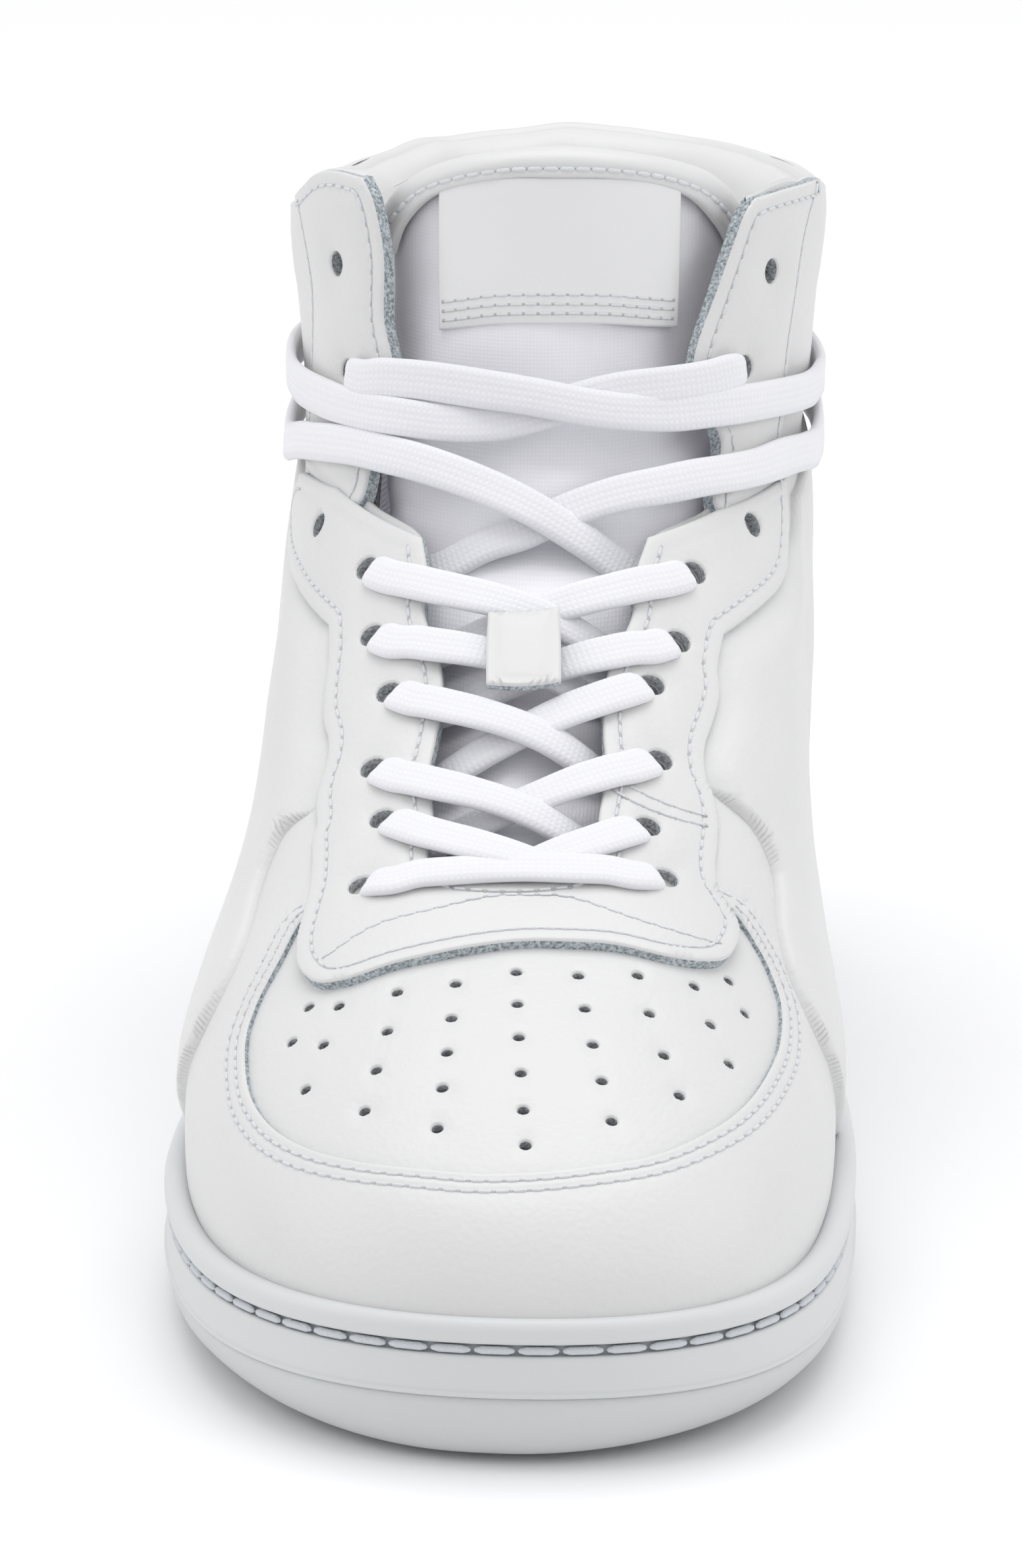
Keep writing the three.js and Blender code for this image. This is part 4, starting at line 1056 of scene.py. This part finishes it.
tongue_outline = [
    (-1.15, 3.8, 1), (-1.5, 4.5), (-1.75, 5.5), (-2.35, 6.3), (-2.55, 7.0), (-2.64, 7.7), (-2.66, 8.2),
    (-2.55, 8.55), (-2.2, 8.85), (-1.6, 9.04), (-0.9, 9.14), (-0.2, 9.16), (0.5, 9.14), (1.15, 9.04),
    (1.75, 8.82), (2.12, 8.52), (2.26, 8.2), (2.28, 7.7), (2.3, 7.0), (2.12, 6.3), (1.55, 5.5), (1.3, 4.5),
    (0.95, 3.8, 1),
]
tongue = pad("tongue_pad", tongue_outline, tongue_top_depth, tongue_low_depth, 5.0, "satin")
swell(tongue, 0.9)
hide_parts("tongue_lower", "tongue_top")
# two places above the lace wraps; nothing below uses them
start, end = (tuple(float(v) for v in metres(place(*at))) for at in ((0.0, 7.2, -8.0), (0.0, 8.15, -9.0)))
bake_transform(tongue)

# the leather binding folded over the tongue's top edge
TRIM_LINE = [
    (2.22, 8.3), (2.04, 8.64), (1.64, 8.9), (1.1, 9.06), (0.5, 9.14), (-0.2, 9.17), (-0.9, 9.14),
    (-1.55, 9.05), (-2.1, 8.88), (-2.5, 8.6), (-2.66, 8.3),
]
TRIM_FOOT = [
    (2.0, 8.3), (1.8, 8.56), (1.42, 8.8), (0.95, 8.93), (0.4, 9.0), (-0.2, 9.01), (-0.8, 9.0), (-1.35, 8.93),
    (-1.83, 8.78), (-2.22, 8.52), (-2.44, 8.3),
]
outer_line = resample(spline(TRIM_LINE, False)[0], 1.6, False)
foot = resample(spline(TRIM_FOOT, False)[0], 0.5, False)
share = np.linspace(0, 1, len(outer_line))
foot = np.stack([np.interp(share, np.linspace(0, 1, len(foot)), foot[:, i]) for i in range(2)], 1)
# (share of the way out from the foot line, depth) over the fold
FOLD = [
    (0.0, -6.6), (-0.02, -5.2), (0.05, -4.75), (0.15, -4.65), (0.35, -4.7), (0.45, -4.95), (0.55, -4.7),
    (0.8, -4.75), (1.1, -5.3), (1.35, -6.4), (1.5, -7.9), (1.5, -9.6), (1.35, -11.4), (1.0, -13.0),
    (0.5, -14.2), (0.0, -14.6), (-0.1, -13.6),
]
loops = []
for f, d in FOLD:
    uv = foot + (outer_line - foot) * f
    u, t = uv.T
    loops.append(place(u, t, d + 0.12 * noise(u * 3, t * 3, 61)))
verts, faces = loft(loops, False)
settle(link("tongue_binding", verts, faces, ["smooth_leather"]), "tongue_upper", ["tongue_trim"])
label = [
    (1.27, 8.94, 1), (0.5, 9.0), (-0.2, 9.01), (-0.9, 9.0), (-1.63, 8.94, 1), (-1.67, 8.4), (-1.72, 7.84, 1),
    (-0.9, 7.92), (-0.2, 7.94), (0.6, 7.92), (1.34, 7.84, 1), (1.31, 8.4),
]
# the label's leather is lighter than the binding's: partly its own tone, partly painted light for the shade it
# sits in
leather("tongue_label_panel", label, ["tongue_label"], (-6.4, -4.95), crown=0.1, raw=False, edge=0.4,
    body="tongue_upper", skin_mat="label_tone_and_painted_light", spacing=2.2)
binding_row = foot + (outer_line - foot) * 0.45
rows = [stitch_row(binding_row, -4.8, pitch=3.0, length=2.5, width=0.95, height=0.85)]
for t in (7.92, 7.985, 8.05):
    across_label = [
        (1.26, t - 0.01), (0.6, t + 0.07), (-0.2, t + 0.09), (-0.9, t + 0.07), (-1.62, t - 0.01),
    ]
    rows.append(stitch_row(spline(across_label, False)[0], -4.85))
stitches("tongue_stitches", rows, body="tongue_upper")

# ---------- the lace ----------
SECTION = [
    (-1, 0), (-0.93, 0.55), (-0.75, 0.9), (-0.4, 1), (0, 0.94), (0.4, 1), (0.75, 0.9), (0.93, 0.55), (1, 0),
    (0.93, -0.55), (0.75, -0.9), (0.4, -1), (0, -0.94), (-0.4, -1), (-0.75, -0.9), (-0.93, -0.55),
]
WIDE, THICK = 6.6, 1.9


def ribbon(path, step=1.0):
    """A soft flat lace along (u, t, d[, width share]) points."""
    pts = np.array([tuple(p) + (1.0,) * (4 - len(p)) for p in path], float)
    fine = []
    for i in range(len(pts) - 1):
        p1, p2 = pts[i], pts[i + 1]
        p0 = pts[i - 1] if i else 2 * p1 - p2
        p3 = pts[i + 2] if i + 2 < len(pts) else 2 * p2 - p1
        fine += [between(p0, p1, p2, p3, f) for f in np.arange(12) / 12]
    fine = np.array(fine + [pts[-1]])
    c = place(fine[:, 0], fine[:, 1], fine[:, 2])
    run = np.concatenate([[0], np.cumsum(np.linalg.norm(np.diff(c, axis=0), axis=1))])
    n = max(4, int(run[-1] / step))
    at = np.linspace(0, run[-1], n)
    q = np.stack([np.interp(at, run, fine[:, i]) for i in range(4)], 1)
    c = place(q[:, 0], q[:, 1], q[:, 2])
    for _ in range(2):
        c[1:-1] = 0.25 * c[:-2] + 0.5 * c[1:-1] + 0.25 * c[2:]
    along = unit(np.gradient(c, axis=0))
    out = outward(q[:, 0], q[:, 1])
    across = unit(np.cross(along, out))
    for i in range(1, n):
        if across[i] @ across[i - 1] < 0:
            across[i] = -across[i]
    for _ in range(3):
        across[1:-1] = unit(across[:-2] + 2 * across[1:-1] + across[2:])
    up = unit(np.cross(across, along))
    flipped = np.sign(np.median((up * out).sum(1)))
    up = up * flipped
    wide = q[:, 3] * (WIDE / 2) * (1 + 0.035 * noise(at / 9, at * 0 + len(path), 71))
    thick = THICK / 2 * (1 + 0.5 * (1 - q[:, 3]))
    cup = 0.22 * noise(at / 11, at * 0 + 2.0, 73)
    verts, uvs = [], []
    for k in range(n):
        for x, y in SECTION:
            verts.append(c[k] + across[k] * x * wide[k] + up[k] * (y * thick[k] + cup[k] * x * x))
            uvs.append((x * 2.4, at[k] / 1.25))
    m = len(SECTION)
    faces = []
    for k in range(n - 1):
        for j in range(m):
            a, b = k * m + j, k * m + (j + 1) % m
            faces.append((a, b, b + m, a + m) if flipped < 0 else (a, a + m, b + m, b))
    return verts, faces, uvs


def lacing(name, paths, nodes=()):
    verts, faces, uvs = [], [], []
    for path in paths:
        v, f, w = ribbon(path)
        faces += [tuple(i + len(verts) for i in q) for q in f]
        verts += v
        uvs += w
    obj = link(name, np.array(verts), faces, ["lace"])
    layer = obj.data.uv_layers.new(name="weave")
    for loop in obj.data.loops:
        layer.data[loop.index].uv = uvs[loop.vertex_index]
    return settle(obj, "shoe", nodes)


OVER, UNDER, NARROW = 3.35, -4.2, 0.6
eyes = {1: EYELETS_L, -1: EYELETS_M}


# (share of a station from the eyelet, depth, share of the width) where a strand goes down through its eyelet
INTO_EYELET = [
    (0.34, OVER - 0.1, 1.0), (0.19, OVER - 0.25, 0.97), (0.085, 2.2, 0.84), (0.035, -0.6, NARROW),
    (0.01, -3.0, NARROW),
]


def into(side, k, du, dt=0.0):
    """A strand's end in eyelet k; du and dt lead back toward where it comes from."""
    u, t = eyes[side][k]
    return [(u + f * du, t + f * dt, d, wide) for f, d, wide in INTO_EYELET]


# (share of the way, depth) along a strand from the eyelet it rises from: those that end on the lateral side
# cross over the others
PASSES_OVER = [
    (0.0, UNDER), (0.16, -3.6), (0.24, -1.8), (0.34, 1.0), (0.42, 2.7), (0.5, 3.5), (0.58, 3.8), (0.68, 3.8),
    (0.77, 3.6), (0.84, OVER),
]
PASSES_UNDER = [
    (0.0, UNDER), (0.16, UNDER), (0.24, -3.1), (0.34, -1.3), (0.42, 0.1), (0.5, 1.1), (0.58, 1.9),
    (0.66, 2.6), (0.74, 3.1), (0.84, OVER),
]
BOW = 0.10  # a strand leaves its upper eyelet almost level
bar = [
    (0.85, 4.4, OVER), (0.4, 4.5, OVER + 0.1), (0, 4.53, OVER + 0.1), (-0.4, 4.52, OVER + 0.1),
    (-0.9, 4.45, OVER),
]
paths = [into(1, 0, -1, 0.3)[::-1] + bar + into(-1, 0, 1, 0.25)]
for k in range(5):
    for side in (1, -1):
        start, end = np.array(eyes[side][k]), np.array(eyes[-side][k + 1])
        span = end - start
        sag = PASSES_UNDER if side > 0 else PASSES_OVER
        slope = float(span[1] / abs(span[0]))
        strand = [(*(start + span * f + np.array([0, BOW * math.sin(math.pi * f)])), d) for f, d in sag]
        paths.append(strand + into(-side, k + 1, side, -0.45 * slope))
lacing("lace_throat", paths)
# each end goes once round the ankle and into the eighth eyelet; u runs on past the heel
W = 3.5
wrap_c = [
    (-1.77, 6.24, UNDER), (-1.0, 6.5, UNDER), (-0.55, 6.62, -1.6), (0.0, 6.75, 0.8), (0.55, 6.86, 1.6),
    (1.1, 6.93, 2.6), (1.6, 6.95, W), (2.2, 6.92, W), (3.0, 6.76, W), (3.82, 6.55, W), (5, 6.43, W + 0.2),
    (6.5, 6.42, W + 0.3), (9, 6.55, W + 0.4), (11.5, 6.78, W), (13.3, 6.92, W), (13.9, 7.0, W),
    (14.4, 7.06, W), (15.4, 7.2, W), (16.1, 7.27, W), (16.7, 7.3, 2.4), (17.3, 7.36, 1.4),
    (18.05, 7.45, 1.2), (18.7, 7.49, 1.6), (19.25, 7.5, 2.6), (19.7, 7.47, W),
]
wrap_d = [
    (1.87, 6.24, UNDER), (1.05, 6.48, UNDER), (0.6, 6.6, -3.0), (0.1, 6.68, -2.2), (-0.4, 6.78, -1.2),
    (-0.9, 6.82, 0.8), (-1.35, 6.82, 2.4), (-1.8, 6.81, W), (-2.4, 6.76, W), (-3, 6.7, W), (-4.07, 6.5, W),
    (-5.2, 6.4, W), (-7, 6.42, W), (-9, 6.6, W + 2.2), (-11, 6.82, W + 0.3), (-13, 7.02, W),
    (-14.3, 7.12, W), (-15.1, 7.16, W), (-15.9, 7.2, W), (-16.5, 7.22, W), (-17.0, 7.24, 1.4),
    (-17.55, 7.3, -1.0), (-18.2, 7.4, -1.4), (-18.8, 7.47, 0.6), (-19.3, 7.48, 2.6), (-19.8, 7.48, W),
]
INTO_CUFF = [
    (0.4, W, 1.0), (0.24, W - 0.2, 0.95), (0.12, 2.4, 0.8), (0.07, 0.0, NARROW), (0.05, -3.2, NARROW),
]
for wrap, (eye_u, eye_t), sign in ((wrap_c, EYELETS_L[7], -1), (wrap_d, EYELETS_M[7], 1)):
    wrap += [(eye_u - sign * 2 * HALF + sign * f, eye_t + 0.01, d, wide) for f, d, wide in INTO_CUFF]
lacing("lace_ankle", [wrap_c, wrap_d], ["lace"])

keeper = [
    (0.4, 6.05, 1), (0.05, 6.07), (-0.34, 6.09, 1), (-0.38, 5.89), (-0.41, 5.68, 1), (-0.05, 5.66),
    (0.36, 5.66, 1), (0.39, 5.86),
]
leather("lace_keeper_loop", keeper, ["lace_keeper"], (4.9, 6.4), crown=0.35, groove=(1.2,), edge=0.5,
    skin_mat="smooth_leather", spacing=1.6)

# ---------- floor and light ----------
floor_tree, floor_bsdf = shader("floor", (0.88, 0.88, 0.885), 0.8, spec=0.1)
mottle = node(floor_tree, "TexNoise", {"Scale": 40.0, "Detail": 2.0})
bumps(floor_tree, floor_bsdf, [(mottle.outputs["Fac"], 0.02, 0.0005)])
bpy.ops.mesh.primitive_plane_add(size=12, location=(0, 2.0, 0))
floor = bpy.context.object
floor.name = "floor"
floor.data.materials.append(MATERIALS["floor"])

LIT = (0, 0, 0.07)


def lamp(name, power, size, where):
    data = bpy.data.lights.new(name, "AREA")
    data.energy, data.size = power, size
    obj = bpy.data.objects.new(name, data)
    bpy.context.scene.collection.objects.link(obj)
    obj.location = where
    obj.rotation_euler = (Vector(LIT) - Vector(where)).to_track_quat("-Z", "Y").to_euler()


lamp("left", 7, 1.4, (-1.7, -0.3, 1.0))
lamp("right", 7, 1.4, (1.7, -0.3, 1.0))
lamp("top", 17.5, 1.5, (0.0, 0.3, 1.9))
world = bpy.data.worlds.new("studio")
bpy.context.scene.world = world
world.use_nodes = True
sky = world.node_tree.nodes["Background"].inputs
sky["Color"].default_value, sky["Strength"].default_value = (0.97, 0.97, 0.985, 1), 0.72
